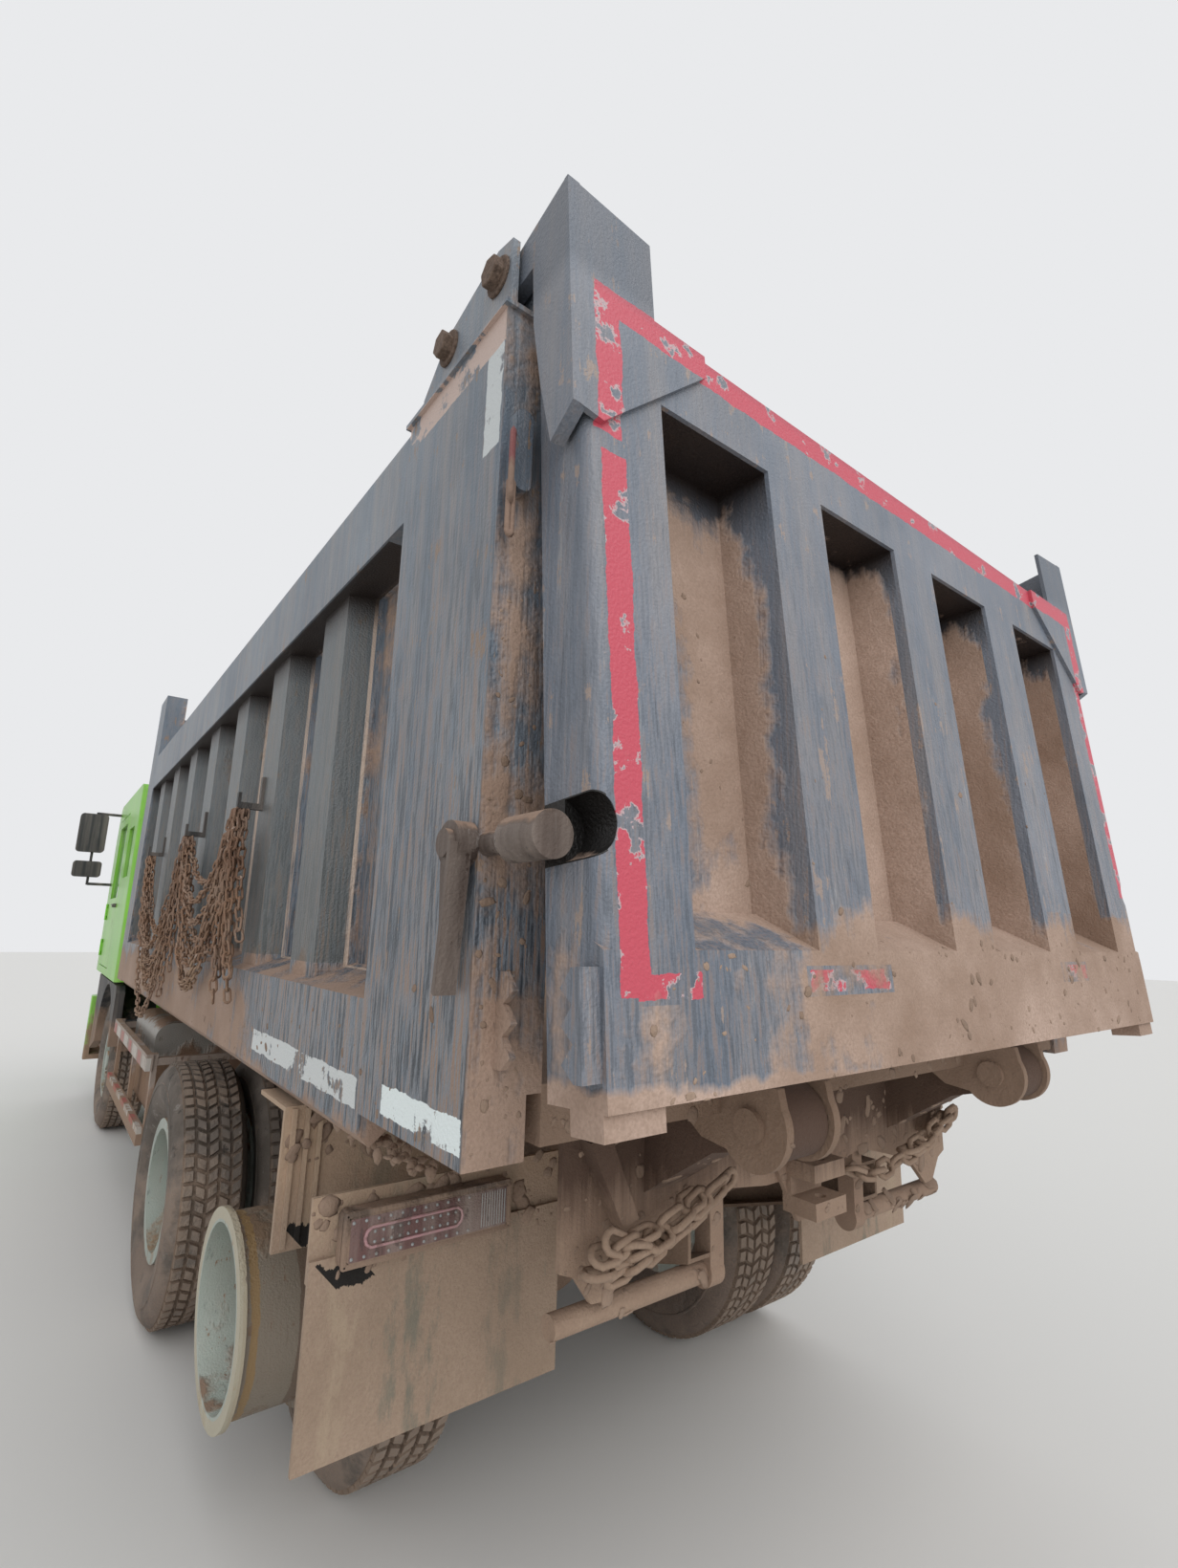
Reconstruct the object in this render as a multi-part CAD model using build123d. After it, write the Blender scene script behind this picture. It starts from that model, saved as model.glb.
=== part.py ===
from build123d import *
import math
import os

os.makedirs("parts", exist_ok=True)

# Dump truck, three axles, in millimetres. X runs forward, Y to the left, Z up.
# While it is drawn, X is counted from the rear face of the body's corner posts.
# Each piece is moved by mid_x when it is written, so that the origin is on the ground
# below the middle of the whole truck.

# Wheels and axles
axle_z = 550
tyre_radius = 550
tyre_width = 305
rim_radius = 255
flange_radius = 300
rim_wall = 25
rim_width = 250
shoulder = 40
hand_holes = 8
hand_hole_radius = 28
dual_pitch = 345
dual_outer_y = 1095
front_wheel_y = 1020
rear_axle_x = 1606
axle_pitch = 1350
body_length = 5640
hub_radius = 140
drum_radius = 205
disc_wall = 14
spindle_radius = 45
kingpin_y = 830
kingpin_radius = 24
axle_tube = 75
bowl_depth = 110
nose_length = 330
front_axle_x = body_length + 1141
gearbox_rear_x = front_axle_x - 1281
front_leaf_z = 464
front_leaf_wall = 24
front_leaf_count = 4
running_gap = 0.3

# Chassis frame
rail_outer_y = 430
rail_flange = 80
rail_height = 300
rail_wall = 10
rail_top_z = 1060
frame_rear_x = 300
rail_tail_x = 900
rail_tail_z = 950
frame_front_x = front_axle_x + 1179
rear_plate_half = 840
rear_plate_top = 1330
rear_plate_wall = 16
brace_depth = 50
guard_bar_x = 335
guard_bar_z = 905
guard_bar_end = 830
guard_bar_radius = 27
tow_pin_z = 1080
tow_pin_radius = 16

# Body
body_half = 1250
post_length = 487
post_depth = 120
post_low_z = 1372
post_top_z = 3045
cap_wall = 12
rail_low_z = 2775
body_rail_top_z = 3026
floor_z = 1494
floor_wall = 14
sill_top_z = 1606
side_depth = 140
sheet_wall = 12
front_lean = 7.0
front_post_length = 330
front_post_top_z = 3510
front_post_low_z = 1320
front_wall_top_z = 3400
front_post_rear_x = body_length - 200
front_wall_depth = 80
front_wall_sheet = 20
bearer_height = 90
bearer_width = 90
beam_width = 80
beam_low_z = 1075
rib_first_x = 1096
rib_pitch = 642
rib_count = 7
rib_base = 285
rib_face = 225
rib_depth = 105
hinge_x = -80
hinge_z = 1380
hinge_eye_radius = 90
hinge_pin_radius = 35
hinge_y = 540
hinge_half = 90
cheek_wall = 22

# Tailgate, drawn shut and then swung to where it hangs
gate_half = body_half - 67
gate_depth = 150
gate_low_z = 1488
gate_top_z = 3001
gate_rear_x = -160
gate_frame = 195
gate_top_rail = 195
gate_ledge_z = 1716
gate_rib_pitch = 545
gate_rib_width = 205
gate_pin_x = 48
gate_pin_z = 3156
gate_ajar = 4.56
gate_arm_y = body_half - 42
gate_arm_wall = 30
gate_pin_radius = 22
gate_bend = 28
gate_ribs = 3
gate_ear_wall = 12
teeth_low_z = 1530
teeth_height = 162
teeth_count = 3
lock_rod_y = body_half - 18
lock_z = 1912
lock_boss_x = 40

# Hoist, a telescopic cylinder between the cab and the body
hoist_low_x = body_length + 290
hoist_low_z = 1000
hoist_eye_x = body_length + 105
hoist_eye_z = 3050
hoist_radius = 95
hoist_steps = 3
hoist_wall = 13
hoist_pin_radius = 30
hoist_ear_y = 75
tow_link_pitch = 62
tow_link_wire = 16
tow_link_width = 60
side_link_pitch = 104
side_link_wire = 22
side_link_width = 78
hook_x = (1800, 2960, 4400)
hook_z = 2190
hook_reach = 90
recess_low_x = body_length - 460
recess_top_z = 2665
recess_half = 130
recess_wall = 10

# Cab
cab_rear_x = body_length + 460
cab_length = 2100
cab_front_x = cab_rear_x + cab_length
cab_low_z = 1265
cab_top_z = 2950
cab_half = 1240
cab_wall = 50
cab_corner = 60
cab_front_corner = 160
cab_brow_z = 1930
cab_top_front_x = cab_front_x - 250
door_rear_x = cab_rear_x + 830
door_front_x = cab_front_x - 400
door_low_z = 1330
door_top_z = 2780
door_gap = 8
wheel_y = 680
door_hinge_x = door_front_x - 2
door_hinge_y = cab_half + 12
door_hinge_radius = 9
door_hinge_pin = 4
door_hinge_length = 160
belt_z = 1980
arch_radius = 655
guard_rear_x = 3800
guard_front_x = front_axle_x - 1081
guard_inner_y = body_half - 60
tank_outer_y = guard_inner_y - 60
cab_hinge_x = cab_front_x - 200
cab_hinge_z = 1130
cab_pin_radius = 20
bumper_front_x = cab_front_x + 90
bumper_low_z = 380
bumper_top_z = 1000
bumper_depth = 240
bumper_wall = 45
lamp_y = (760, 1140)
lamp_z = (640, 840)

load_half = body_half - side_depth - sheet_wall
gate_reach = 292
mid_x = (bumper_front_x - gate_reach) / 2


def block(x0, x1, y0, y1, z0, z1):
    """Box between two corners."""
    size = (abs(x1 - x0), abs(y1 - y0), abs(z1 - z0))
    return Pos((x0 + x1) / 2, (y0 + y1) / 2, (z0 + z1) / 2) * Box(*size)


def side_plate(points, y0, y1):
    """Flat plate with its outline in X and Z, between two values of Y."""
    outline = Polyline(*[(x, z) for x, z in points], close=True)
    face = make_face(Plane.XZ * outline)
    return Pos(0, min(y0, y1), 0) * extrude(face, amount=abs(y1 - y0), dir=(0, 1, 0))


def cross_plate(points, x0, x1):
    """Flat plate with its outline in Y and Z, between two values of X."""
    outline = Polyline(*[(y, z) for y, z in points], close=True)
    face = make_face(Plane.YZ * outline)
    return Pos(min(x0, x1), 0, 0) * extrude(face, amount=abs(x1 - x0), dir=(1, 0, 0))


def flat_plate(points, z0, z1):
    """Flat plate with its outline in X and Y, between two heights."""
    outline = Polyline(*[(x, y) for x, y in points], close=True)
    face = make_face(outline)
    return Pos(0, 0, min(z0, z1)) * extrude(face, amount=abs(z1 - z0), dir=(0, 0, 1))


def rounded_prism(points, radii, plane, amount, direction):
    """Prism whose outline has its corners rounded, from flat points on a plane."""
    outline = FilletPolyline(*points, radius=radii, close=True)
    return extrude(make_face(plane * outline), amount=amount, dir=direction)


def soft_block(x0, x1, y0, y1, z0, z1, axis, radius):
    """Box with the four edges along one axis rounded."""
    box = block(x0, x1, y0, y1, z0, z1)
    return fillet(box.edges().filter_by(axis), radius)


def bar_y(x, z, y0, y1, radius):
    """Round bar across the truck."""
    middle = Pos(x, (y0 + y1) / 2, z) * Rot(90, 0, 0)
    return middle * Cylinder(radius, abs(y1 - y0))


def bar_x(y, z, x0, x1, radius):
    """Round bar along the truck."""
    middle = Pos((x0 + x1) / 2, y, z) * Rot(0, 90, 0)
    return middle * Cylinder(radius, abs(x1 - x0))


def rod(start, end, radius):
    """Round bar between any two points."""
    path = Vector(*end) - Vector(*start)
    plane = Plane(origin=start, z_dir=path)
    return plane * Cylinder(radius, path.length, align=(Align.CENTER, Align.CENTER, Align.MIN))


def other_side(shape):
    """The same piece on the other side of the truck."""
    return mirror(shape, about=Plane.XZ)


def both(shape):
    return shape + other_side(shape)


def fuse(shapes):
    result = shapes[0]
    for shape in shapes[1:]:
        result = result + shape
    return result


def write(node, shapes):
    """Write the solids of one node, moved to the truck's own origin."""
    shapes = shapes if isinstance(shapes, list) else [shapes]
    solids = [solid for shape in shapes for solid in shape.solids()]
    moved = [solid.moved(Location((-mid_x, 0, 0))) for solid in solids]
    export_step(Compound(children=moved) if len(moved) > 1 else moved[0], f"parts/{node}.step")


# Chassis frame


def c_rail():
    """One pressed channel rail with its web outside, its tail cut up to a lower height."""
    low = rail_top_z - rail_height
    inside = rail_outer_y - rail_flange
    rail = block(frame_rear_x, frame_front_x, inside, rail_outer_y, low, rail_top_z)
    hollow = block(frame_rear_x - 1, frame_front_x + 1, inside - 1,
                   rail_outer_y - rail_wall, low + rail_wall, rail_top_z - rail_wall)
    tail = [(frame_rear_x - 1, rail_tail_z), (rail_tail_x, low), (rail_tail_x, low - 5), (frame_rear_x - 1, low - 5)]
    flange = [(frame_rear_x, rail_tail_z), (rail_tail_x, low), (rail_tail_x, low + rail_wall),
              (frame_rear_x, rail_tail_z + rail_wall)]
    return (rail - hollow - side_plate(tail, inside - 1, rail_outer_y + 1)) + side_plate(flange, inside, rail_outer_y)


def frame():
    """Two channel rails with the cross members between their webs."""
    inner = rail_outer_y - rail_wall
    members = [c_rail(), other_side(c_rail())]
    strip = block(540, 5380, rail_outer_y - rail_flange, rail_outer_y, rail_top_z, beam_low_z - running_gap)
    members.append(both(strip))
    for x in (rail_tail_x, rear_axle_x + axle_pitch / 2, 3800, 4900, frame_front_x - 160):
        members.append(block(x - 50, x + 50, -inner, inner, rail_top_z - 230, rail_top_z - 70))
    return fuse(members)


def rear_plate():
    """Rear cross member with its square hole, hanging gussets, braces, hinge arms and tow jaw."""
    face = frame_rear_x - rear_plate_wall
    wing = rear_plate_half
    half = [(140, 1085), (330, 1110), (465, 1075), (608, 1035), (702, 945), (751, 950), (798, 1013), (wing, 1030),
            (wing, 1300), (700, rear_plate_top)]
    outline = half + [(-y, z) for y, z in reversed(half)]
    plate = cross_plate(outline, face, frame_rear_x)
    plate = plate - block(face - 1, frame_rear_x + 1, 420, 480, 1163, 1223)
    brace = cross_plate([(740, 1305), (800, 1300), (700, 1105), (655, 1120)], face - brace_depth, face)
    arm = side_plate([(face, 1150), (face, 1325), (0, 1370), (hinge_x + 40, hinge_z + 50),
                      (hinge_x - 40, hinge_z - 40), (60, 1290)], hinge_y - 55, hinge_y + 55)
    arm = arm + bar_y(hinge_x, hinge_z, hinge_y - hinge_half + cheek_wall + 6,
                      hinge_y + hinge_half - cheek_wall - 6, hinge_eye_radius - 12)
    arm = arm - bar_y(hinge_x, hinge_z, hinge_y - 200, hinge_y + 200, hinge_pin_radius + running_gap)
    wedge = cross_plate([(125, 1155), (22, 975), (-22, 975), (-125, 1155)], face - 14, face)
    jaw = block(face - 110, face, -70, 70, tow_pin_z - 70, tow_pin_z + 70)
    jaw = jaw - block(face - 111, face - 30, -71, 71, tow_pin_z - 25, tow_pin_z + 25)
    jaw = jaw - Pos(face - 75, 0, tow_pin_z) * Cylinder(tow_pin_radius, 200)
    hanger = block(frame_rear_x - 1, guard_bar_x + 20, 300, 350, guard_bar_z, 1140)
    hanger = hanger + bar_y(guard_bar_x, guard_bar_z, 300, 350, 40)
    bar = bar_y(guard_bar_x, guard_bar_z, 349, guard_bar_end, guard_bar_radius)
    return fuse([plate, both(brace), both(arm), both(hanger + bar), wedge, jaw])


# Axles and suspension


def rear_axle(x):
    """Drive axle: tapered housing, differential bowl and wheel spindles."""
    housing = block(x - 80, x + 80, -560, 560, axle_z - 75, axle_z + 75)
    tube = bar_y(x, axle_z, -640, 640, axle_tube)
    bowl = Pos(x, 0, axle_z) * Rot(0, 90, 0) * Cylinder(210, 2 * bowl_depth)
    nose = bar_x(0, axle_z + 60, x, x + nose_length, 110)
    spindle = bar_y(x, axle_z, -1010, 1010, spindle_radius)
    return fuse([tube, housing, bowl, nose, spindle])


def rear_springs():
    """Walking leaf packs over both drive axles, on their trunnion."""
    middle = rear_axle_x + axle_pitch / 2
    packs = []
    for step in range(5):
        half = axle_pitch / 2 + 70 - step * 110
        low = axle_z + axle_tube + step * 20
        packs.append(block(middle - half, middle + half, 352, 442, low, low + 20))
    seat = block(middle - 90, middle + 90, 345, 449, axle_z - 140, axle_z + axle_tube + 1)
    trunnion = bar_y(middle, axle_z - 80, -520, 520, 60)
    leg = block(middle - 80, middle + 80, 449, 471, axle_z - 140, rail_top_z - 60)
    foot = block(middle - 150, middle + 150, rail_outer_y, 449, rail_top_z - 250, rail_top_z - 60)
    return fuse([trunnion, both(fuse(packs + [seat, leg, foot]))])


def front_axle():
    """Forged beam dropped between the spring seats, with an eye at each kingpin."""
    x = front_axle_x
    top = axle_z - 40
    outline = [(kingpin_y - 45, axle_z - 50), (kingpin_y - 45, axle_z + 50), (kingpin_y - 110, axle_z + 40),
               (560, top - 50), (-560, top - 50), (-kingpin_y + 110, axle_z + 40), (-kingpin_y + 45, axle_z + 50),
               (-kingpin_y + 45, axle_z - 50), (-kingpin_y + 120, axle_z - 60), (-540, top - 150),
               (540, top - 150), (kingpin_y - 120, axle_z - 60)]
    beam = cross_plate(outline, x - 45, x + 45)
    eye = Pos(x, kingpin_y, axle_z) * Cylinder(52, 120)
    seat = block(x - 60, x + 60, 345, 425, axle_z - 110, front_leaf_z)
    beam = beam + both(eye) + both(seat)
    hole = Pos(x, kingpin_y, axle_z) * Cylinder(kingpin_radius + running_gap, 200)
    return beam - both(hole)


def front_springs():
    """Leaf packs hung from the frame over the front axle."""
    x = front_axle_x
    top = front_leaf_z + front_leaf_count * front_leaf_wall
    packs = []
    for step in range(front_leaf_count):
        half = 800 - step * 150
        high = top - step * front_leaf_wall
        packs.append(block(x - half, x + half, 345, 425, high - front_leaf_wall, high))
    hanger = block(x + 740, x + 800, 345, 425, top, rail_top_z - rail_height)
    return both(fuse(packs + [hanger, hanger.moved(Location((-1540, 0, 0)))]))


def knuckle():
    """Steering knuckle: fork round the axle eye, kingpin, spindle and arm."""
    x = front_axle_x
    upper = block(x - 50, x + 50, kingpin_y - 55, kingpin_y + 95, axle_z + 66, axle_z + 106)
    lower = block(x - 50, x + 50, kingpin_y - 55, kingpin_y + 95, axle_z - 106, axle_z - 66)
    back = block(x - 60, x + 60, kingpin_y + 60, kingpin_y + 95, axle_z - 106, axle_z + 106)
    pin = Pos(x, kingpin_y, axle_z) * Cylinder(kingpin_radius, 212)
    spindle = bar_y(x, axle_z, kingpin_y + 90, front_wheel_y + 60, spindle_radius)
    arm = block(x - 230, x - 40, kingpin_y - 30, kingpin_y + 20, axle_z - 106, axle_z - 76)
    return fuse([upper, lower, back, pin, spindle, arm])


# Wheels


def ring(profile, x, y):
    """Body of revolution about the wheel's axis, from (radius, offset in Y) points."""
    outline = Polyline(*[(radius, offset) for radius, offset in profile], close=True)
    face = make_face(Plane(origin=(0, 0, 0), x_dir=(1, 0, 0), z_dir=(0, 0, 1)) * outline)
    turned = revolve(face, axis=Axis.Y)
    return Pos(x, y, axle_z) * turned


def tyre(x, y):
    """Solid tyre section round the rim, with its shoulders and bulged walls."""
    half = tyre_width / 2
    bead = rim_width / 2 - 24
    seat = rim_radius + rim_wall + running_gap
    profile = [(seat, -bead), (flange_radius + 6, -bead), (flange_radius + 110, -half),
               (tyre_radius - shoulder, 15 - half), (tyre_radius, shoulder - half),
               (tyre_radius, half - shoulder), (tyre_radius - shoulder, half - 15),
               (flange_radius + 110, half), (flange_radius + 6, bead), (seat, bead)]
    return ring(profile, x, y)


def rim(x, y, dish):
    """Rim barrel with its flanges and the wheel disc, dished by the given offset."""
    half = rim_width / 2
    seat = rim_radius + rim_wall
    barrel = [(flange_radius, -half), (flange_radius, 20 - half), (seat, 24 - half), (seat, half - 24),
              (flange_radius, half - 20), (flange_radius, half), (rim_radius, half), (rim_radius, -half)]
    centre = hub_radius + 30
    disc = [(rim_radius + 5, dish * 0.2), (rim_radius + 5, dish * 0.2 + disc_wall), (centre, dish + disc_wall),
            (spindle_radius + 35, dish + disc_wall), (spindle_radius + 35, dish), (centre, dish)]
    wheel = ring(barrel, x, y) + ring(disc, x, y)
    holes = []
    radius = (rim_radius + centre) / 2
    for turn in range(hand_holes):
        angle = 2 * math.pi * turn / hand_holes
        centre_x = x + radius * math.cos(angle)
        centre_z = axle_z + radius * math.sin(angle)
        holes.append(bar_y(centre_x, centre_z, y - half, y + half, hand_hole_radius))
    return wheel - fuse(holes)


def hub(x, y0, y1, radius, bore):
    """Hub or brake drum between two values of Y, bored for the spindle."""
    return bar_y(x, axle_z, y0, y1, radius) - bar_y(x, axle_z, y0 - 5, y1 + 5, bore)


def rear_wheel_pair(x):
    """Two rims back to back on one hub with its brake drum, on the left."""
    inner_y = dual_outer_y - dual_pitch
    face = (dual_outer_y + inner_y) / 2
    outer = rim(x, dual_outer_y, face - dual_outer_y)
    inner = rim(x, inner_y, face - inner_y - disc_wall)
    bore = spindle_radius + running_gap
    drum = hub(x, inner_y - rim_width / 2 + 20, face - disc_wall, drum_radius, bore)
    nave = hub(x, face - disc_wall, face + 110, hub_radius - 30, bore)
    cap = bar_y(x, axle_z, face + 110, face + 150, hub_radius - 50)
    return fuse([outer, inner, drum, nave, cap])


def front_wheel(x):
    """Single front rim with its disc outboard, hub and brake drum, on the left."""
    wheel = rim(x, front_wheel_y, 60)
    bore = spindle_radius + running_gap
    drum = hub(x, front_wheel_y - 80, front_wheel_y + 60, drum_radius - 10, bore)
    nave = hub(x, front_wheel_y + 60, front_wheel_y + 100, hub_radius - 40, bore)
    cap = bar_y(x, axle_z, front_wheel_y + 100, front_wheel_y + 130, hub_radius - 60)
    return fuse([wheel, drum, nave, cap])


# Body


def front_wall_x(z):
    """Front face of the leaning front wall at a height."""
    lean = math.tan(math.radians(front_lean))
    return front_post_rear_x + front_post_length - (z - front_post_low_z) * lean


def bed_floor():
    """Floor plate on its bearers and the two long beams, with the hinge cheeks."""
    inner = load_half
    front = front_wall_x(floor_z) - front_wall_depth
    floor = block(0, front, -inner, inner, floor_z - floor_wall, floor_z)
    floor = floor - block(recess_low_x, front + 1, -recess_half, recess_half, floor_z - 50, floor_z + 1)
    top = floor_z - floor_wall
    low = top - bearer_height
    pieces = [floor, block(0, 150, -inner, inner, low, top)]
    for count in range(rib_count):
        x = rib_first_x + count * rib_pitch
        if x + bearer_width / 2 < recess_low_x:
            pieces.append(block(x - bearer_width / 2, x + bearer_width / 2, -inner, inner, low, top))
    beam = side_plate([(300, low), (300, low - 120), (520, beam_low_z), (front - 60, beam_low_z),
                       (front - 60, low)], rail_outer_y - beam_width, rail_outer_y)
    pieces.append(both(beam))
    for y in (hinge_y - hinge_half, hinge_y + hinge_half - cheek_wall):
        cheek = side_plate([(hinge_x - 88, hinge_z), (hinge_x - 70, 1462), (0, 1466), (0, low), (150, low),
                            (60, 1330), (hinge_x + 60, hinge_z - 60)], y, y + cheek_wall)
        cheek = cheek + bar_y(hinge_x, hinge_z, y, y + cheek_wall, hinge_eye_radius)
        pieces.append(both(cheek))
    pin = bar_y(hinge_x, hinge_z, hinge_y - hinge_half - 15, hinge_y + hinge_half + 15, hinge_pin_radius)
    pieces.append(both(pin))
    return fuse(pieces)


def hat_rib(x):
    """Pressed rib with a tapered hat section, standing on the side sheet."""
    root = body_half - side_depth
    tip = root + rib_depth
    points = [(x - rib_base / 2, root), (x - rib_face / 2, tip), (x + rib_face / 2, tip), (x + rib_base / 2, root)]
    return flat_plate(points, sill_top_z - 40, rail_low_z + 20)


def bed_side():
    """Left side: sheet, top rail, sill with its ledge, ribs and the rear corner post."""
    root = body_half - side_depth
    sheet = block(0, body_length, root - sheet_wall, root, floor_z - floor_wall, rail_low_z + 40)
    rail = block(post_length - 20, body_length, root - sheet_wall, body_half, rail_low_z, body_rail_top_z)
    sill = cross_plate([(root - 1, floor_z - floor_wall - bearer_height), (body_half - 30, 1300), (body_half, 1330),
                        (body_half, sill_top_z), (root - 1, sill_top_z + 55)], post_length - 20, body_length)
    post = block(0, post_length, body_half - post_depth, body_half, post_low_z, post_top_z)
    inner_post = block(0, post_length, root - sheet_wall, body_half - post_depth + 1, floor_z - floor_wall, body_rail_top_z)
    cap = block(-10, post_length + 12, root - sheet_wall, body_half + 10, post_top_z, post_top_z + cap_wall)
    ribs = [hat_rib(rib_first_x + count * rib_pitch) for count in range(rib_count)]
    cheeks = []
    top = post_top_z + cap_wall
    outline = [(-5, top), (420, top), (420, top + 30), (300, 3188), (60, 3236), (-5, 3216)]
    for y in (gate_arm_y - gate_arm_wall / 2 - 26, gate_arm_y + gate_arm_wall / 2 + 8):
        cheeks.append(side_plate(outline, y, y + 18))
    pin = bar_y(gate_pin_x, gate_pin_z, gate_arm_y - 55, gate_arm_y + 55, gate_pin_radius)
    bolt = bar_y(283, 3144, gate_arm_y - 55, gate_arm_y + 55, 18)
    teeth = tooth_plate(1, -55, 30, gate_half + 6, gate_half + 18)
    hook = soft_block(-34, 1, body_half - 54, body_half - 14, 2610, 2790, Axis.X, 18)
    side = fuse([sheet, rail, sill, post, inner_post, cap, pin, bolt, teeth, hook] + ribs + cheeks)
    low, high = 1200, 3300
    behind_post = [(front_wall_x(low) - front_post_length, low), (7000, low), (7000, high),
                   (front_wall_x(high) - front_post_length, high)]
    behind_wall = [(front_wall_x(low) - front_wall_depth, low), (7000, low), (7000, high),
                   (front_wall_x(high) - front_wall_depth, high)]
    side = side - side_plate(behind_post, root, body_half + 20)
    return side - side_plate(behind_wall, load_half - 20, root)


def leaning_plate(low, high, back, front, y0, y1):
    """Plate along the leaning front wall, between two depths behind its front face."""
    points = [(front_wall_x(low) - back, low), (front_wall_x(low) - front, low),
              (front_wall_x(high) - front, high), (front_wall_x(high) - back, high)]
    return side_plate(points, y0, y1)


def hoist_recess(margin):
    """Wedge behind the front wall that the hoist leans into when the body is up."""
    half = recess_half + margin
    top = recess_top_z + margin
    run = (front_wall_x(recess_top_z) - front_wall_depth - recess_low_x) / (recess_top_z - floor_z)
    top_x = recess_low_x + run * (top - floor_z)
    points = [(recess_low_x - margin, floor_z - 1), (top_x - margin, top), (front_wall_x(top) + 5, top),
              (front_wall_x(floor_z - 150) + 5, floor_z - 150), (recess_low_x - margin, floor_z - 150)]
    return side_plate(points, -half, half)


def bed_front():
    """Front wall leaning back, its ribs, the two tall corner posts and the hoist eyes."""
    root = body_half - side_depth
    depth = front_wall_depth
    skin = depth - front_wall_sheet
    post = leaning_plate(front_post_low_z, front_post_top_z, front_post_length, 0, root, body_half)
    wall = leaning_plate(floor_z, front_wall_top_z, depth, skin, -root, root)
    rail = leaning_plate(front_wall_top_z - 160, front_wall_top_z, skin, 0, -root, root)
    foot = leaning_plate(floor_z - 100, floor_z + 180, skin, 0, -root, root)
    ribs = [leaning_plate(floor_z + 170, front_wall_top_z - 150, skin, 5, y - 70, y + 70)
            for y in (-780, -420, 420, 780)]
    eyes = []
    for y in (-hoist_ear_y, hoist_ear_y):
        ear = side_plate([(front_wall_x(2850) - skin, 2850), (hoist_eye_x + 40, hoist_eye_z - 60),
                          (hoist_eye_x + 55, hoist_eye_z), (hoist_eye_x + 40, hoist_eye_z + 60),
                          (front_wall_x(3250) - skin, 3250)], y - 11, y + 11)
        eyes.append(ear)
    back = leaning_plate(2800, 3260, skin, 30, -200, 200)
    pin = bar_y(hoist_eye_x, hoist_eye_z, hoist_ear_y - 11, hoist_ear_y + 25, hoist_pin_radius)
    cover = hoist_recess(recess_wall) & leaning_plate(floor_z, recess_top_z + 60, 900, depth - 1, -root, root)
    front = fuse([wall, rail, foot, back, cover, both(pin), both(post)] + ribs + eyes)
    return front - hoist_recess(0)


def tooth_plate(base_x, tip_x, depth, y0, y1):
    """Plate standing on edge with a row of pointed teeth along one upright side."""
    pitch = teeth_height / teeth_count
    back = tip_x - math.copysign(depth, tip_x - base_x)
    points = [(base_x, teeth_low_z)]
    for count in range(teeth_count):
        low = teeth_low_z + count * pitch
        points += [(back, low), (tip_x, low + pitch * 0.45)]
    points += [(back, teeth_low_z + teeth_height), (base_x, teeth_low_z + teeth_height)]
    return side_plate(points, y0, y1)


def gate_ear():
    """Left arm of the tailgate: the side plate out to the pin and the plate over the gate's corner."""
    rear = gate_rear_x - gate_ear_wall
    outer = gate_arm_y + gate_arm_wall / 2
    inner = gate_arm_y - gate_arm_wall / 2
    arm = side_plate([(rear, 2680), (gate_rear_x + 62, 2640), (gate_rear_x + 92, 2790), (gate_rear_x + 115, 2960),
                      (gate_rear_x + 115, 3110), (gate_pin_x, gate_pin_z - 45), (gate_pin_x + 45, gate_pin_z),
                      (gate_pin_x, gate_pin_z + 45), (rear, 3226)], inner, outer)
    arm = arm - bar_y(gate_pin_x, gate_pin_z, inner - 50, outer + 50, gate_pin_radius + running_gap)
    bend_y = gate_half - 31
    slant_y = gate_half - 330
    step_y = gate_half - 179
    plate = cross_plate([(bend_y, 2670), (slant_y, 2944), (slant_y, gate_top_z), (step_y, gate_top_z), (step_y, 3206),
                         (outer, 3226), (outer, 2682)], rear, gate_rear_x)
    return arm + plate


def gate_teeth():
    """Toothed guide plate low on the gate's side, facing the one on the corner post."""
    y = gate_half + 25
    spacer = block(gate_rear_x + 10, gate_rear_x + 50, gate_half - 1, y, teeth_low_z, teeth_low_z + teeth_height)
    return spacer + tooth_plate(gate_rear_x + 10, gate_rear_x + 60, 30, y, y + 12)


def gate():
    """Tailgate shut: inner sheet, outer frame, three ribs, ledge and the two arms."""
    front = gate_rear_x + gate_depth
    sheet = block(front - sheet_wall, front, -gate_half, gate_half, gate_low_z, gate_top_z)
    top = block(gate_rear_x, front, -gate_half, gate_half, gate_top_z - gate_top_rail, gate_top_z)
    stile = block(gate_rear_x, front, gate_half - gate_frame, gate_half, gate_low_z, gate_top_z)
    corner = stile.edges().filter_by(Axis.Z).sort_by(Axis.X)[:2].sort_by(Axis.Y)[-1:]
    stile = fillet(corner, gate_bend)
    foot = side_plate([(gate_rear_x, gate_low_z), (front - 1, gate_low_z), (front - 1, gate_ledge_z + 80),
                       (front - 20, gate_ledge_z + 80), (gate_rear_x, gate_ledge_z)], -gate_half, gate_half)
    step = block(gate_rear_x + 10, gate_rear_x + 90, gate_half - 120, gate_half, gate_low_z - 38, gate_low_z + 1)
    pieces = [sheet, top, both(stile), foot, both(step)]
    for count in range(gate_ribs):
        y = (count - (gate_ribs - 1) / 2) * gate_rib_pitch
        half = gate_rib_width / 2
        points = [(front - 5, y - half - 25), (gate_rear_x, y - half), (gate_rear_x, y + half),
                  (front - 5, y + half + 25)]
        pieces.append(flat_plate(points, gate_ledge_z - 40, gate_top_z - gate_top_rail + 20))
    door = fuse(pieces + [both(gate_ear()), both(gate_teeth())])
    socket = bar_x(lock_rod_y - 32, lock_z, gate_rear_x - 1, gate_rear_x + 90, 55)
    return door - both(socket)


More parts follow.
